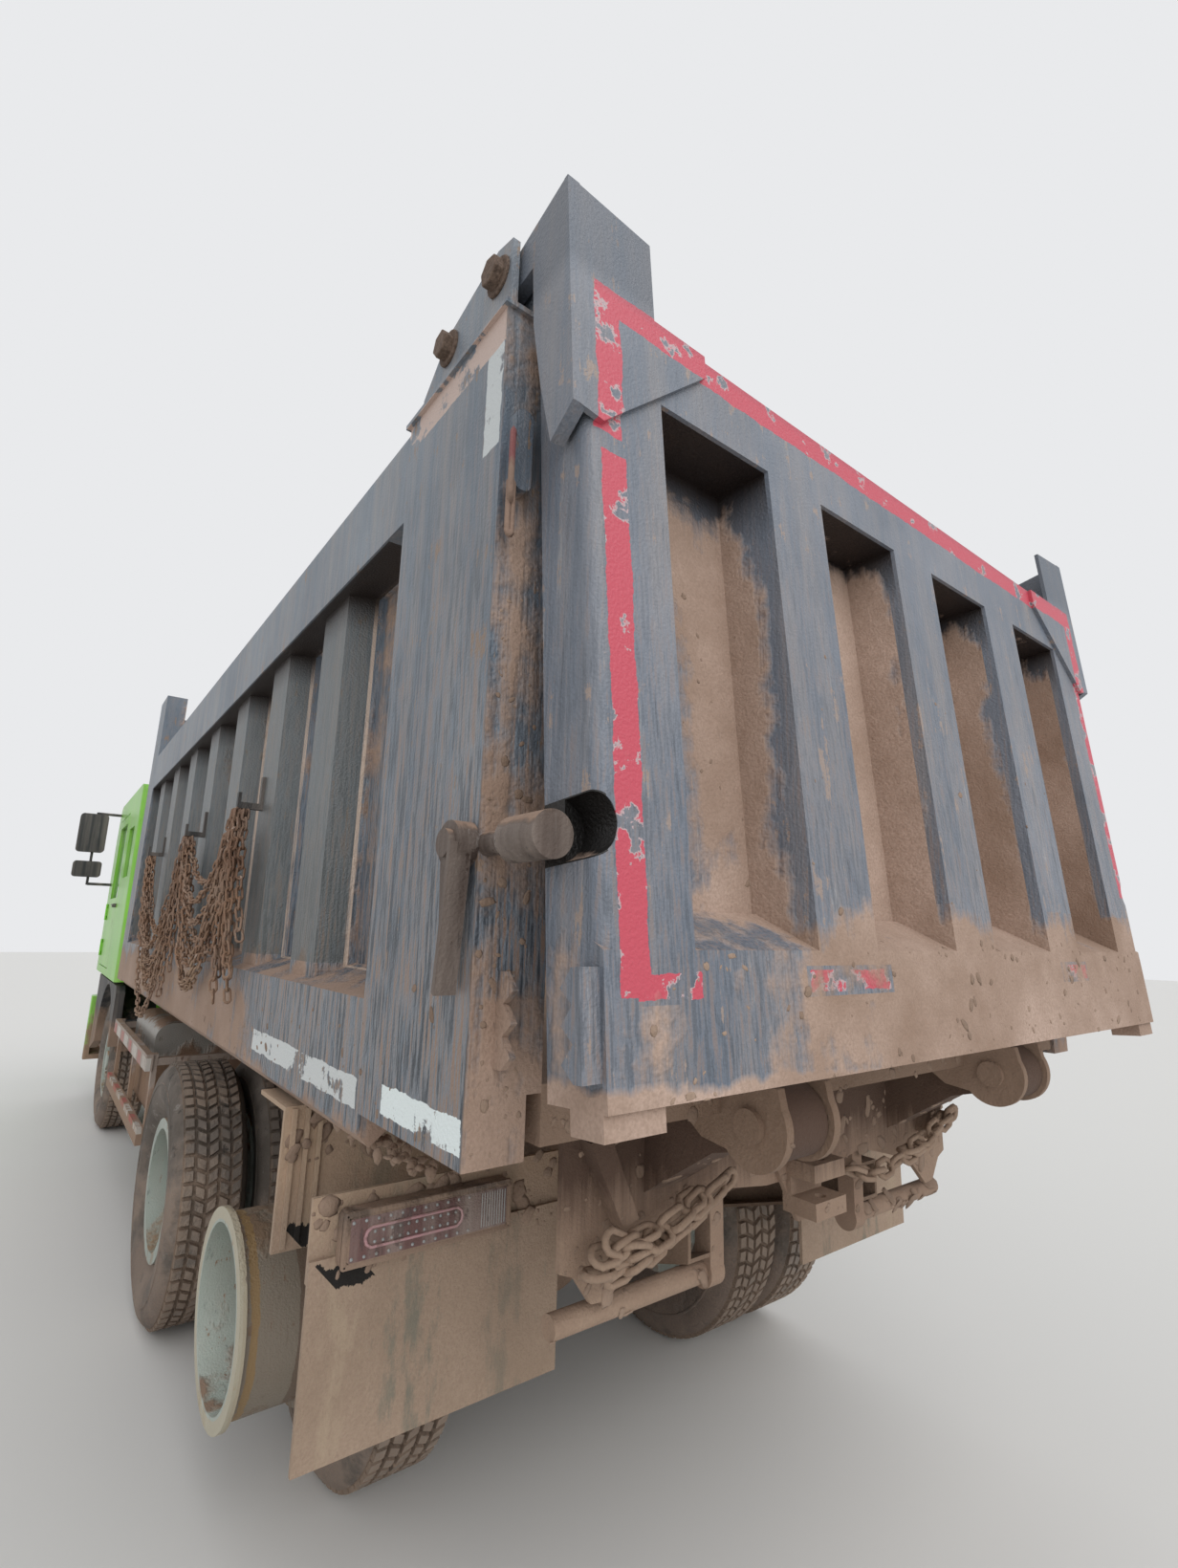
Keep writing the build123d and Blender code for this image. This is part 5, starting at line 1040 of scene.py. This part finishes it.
# Woven webbing, faded from red to a dull matt rose, with 10 mm ribs, coarser than the real weave
# so that they show.
strap_red = weathered("faded_red_strap", "#7d4646", "#8f6360", "#6a3a3a", "#8d7567", mud_top=2.7,
                      mud_fade=0.12, wear=0.4, gloss=0.9, upright=(60, 60, 3))
upended = Matrix.Rotation(math.pi / 2, 4, "Y")
loop = oval_link(0.024, 0.056, 0.17)
loop.data.transform(at(-34, 1241, 2650) @ Matrix.Rotation(1.0, 4, "Z") @ upended
                    @ Matrix.Diagonal((1, 1, 0.55, 1)))
loop.name = "strap_loop"
tail = oval_link(0.018, 0.034, 0.13)
tail.data.transform(at(-34, 1241, 2562) @ upended @ Matrix.Diagonal((1, 0.7, 0.7, 1)))
tail.name = "strap_tail"
for made in (loop, tail):
    finish_piece(made, "bed", strap_red)


# Clods
# Clay that has dried where it was thrown or has run down: small flattened lumps on the ledge, the
# lower rail, the cross member and the guard plates, and drips that hang under the sill.

# Dry clay, pale tan and quite matt, with darker grains.
dried_clay = weathered("dried_clay_clods", "#8f7a69", "#a48d7b", "#7a6656", "#a48d7b", mud_top=9.0,
                       mud_fade=0.5, mud_more=0.1, wear=0.1, gloss=0.95, wet="#7a6555", upright=(9, 9, 9))
chance = random.Random(7)
lumps = []
for kind in range(3):
    bpy.ops.object.select_all(action="DESELECT")
    bpy.ops.mesh.primitive_ico_sphere_add(subdivisions=2, radius=1)
    lump = bpy.context.object
    for point in lump.data.vertices:
        point.co *= 1 + chance.uniform(-0.22, 0.22)
    bpy.ops.object.shade_smooth()
    lumps.append(lump)


def thrown(node, start, spread, towards, count, least, most):
    """Lumps stuck where rays from a rectangle of starting places meet a piece."""
    stuck = []
    for _ in range(count):
        place = spot(*(middle + chance.uniform(-1, 1) * reach for middle, reach in zip(start, spread)))
        met, where, normal, _ = nodes[node].ray_cast(place, Vector(towards))
        if not met:
            continue
        size = least + (most - least) * chance.random() ** 2.5
        upright = normal.to_track_quat("Z", "Y").to_matrix().to_4x4()
        turn = Matrix.Rotation(chance.uniform(0, 6.28), 4, "Z")
        flat = Matrix.Diagonal((size * chance.uniform(0.7, 2.2), size, size * chance.uniform(0.16, 0.34), 1))
        lump = lumps[len(stuck) % len(lumps)]
        stuck.append(copied(lump, "clod", Matrix.Translation(where) @ upright @ turn @ flat))
    return stuck


# Each shower has the middle and half size of the rectangle it starts from, in millimetres, the way
# it goes, how many lumps it throws, and the smallest and largest half width of a lump, in metres.
bpy.context.view_layer.update()
forwards, rightwards = (1, 0, 0), (0, -1, 0)
crusts = [
    ("tailgate", "tailgate", [((-900, 0, 1620), (0, 1130, 140), forwards, 150, 0.002, 0.009),
                              ((-900, 150, 2150), (0, 900, 420), forwards, 60, 0.002, 0.008)]),
    ("rear_cross_member", "chassis", [((-900, 0, 1080), (0, 830, 200), forwards, 300, 0.003, 0.022)]),
    ("mud_flaps", "chassis", [((-200, 900, 1120), (0, 345, 155), forwards, 150, 0.004, 0.024),
                              ((-200, -900, 1120), (0, 345, 155), forwards, 90, 0.004, 0.024),
                              ((1100, 2500, 1110), (100, 0, 160), rightwards, 40, 0.004, 0.02)]),
    ("bed_side_left", "bed", [((1500, 2200, 1480), (1480, 0, 170), rightwards, 110, 0.002, 0.008),
                              ((-900, 1190, 1900), (0, 50, 520), forwards, 60, 0.002, 0.009)]),
    ("bed_floor", "bed", [((-900, 0, 1400), (0, 1080, 60), forwards, 90, 0.004, 0.022)]),
]
for node, body, showers in crusts:
    stuck = []
    for shower in showers:
        stuck += thrown(node, *shower)
    crust = joined(f"clods_{node}", stuck)
    for point in crust.data.vertices:
        point.co.x = max(point.co.x, cad_box[0][0])
    finish_piece(crust, body, dried_clay)
drips = []
for count in range(60):
    x, y = 250 + 9 * count + chance.uniform(-20, 20), chance.uniform(1150, 1215)
    long, wide = 0.004 + 0.016 * chance.random() ** 2, chance.uniform(0.005, 0.012)
    hung = at(x, y, 1304 - 600 * long) @ Matrix.Diagonal((wide, wide, long, 1))
    drips.append(copied(lumps[count % len(lumps)], "drip", hung))
finish_piece(joined("mud_drips", drips), "bed", dried_clay)
drop(*lumps)
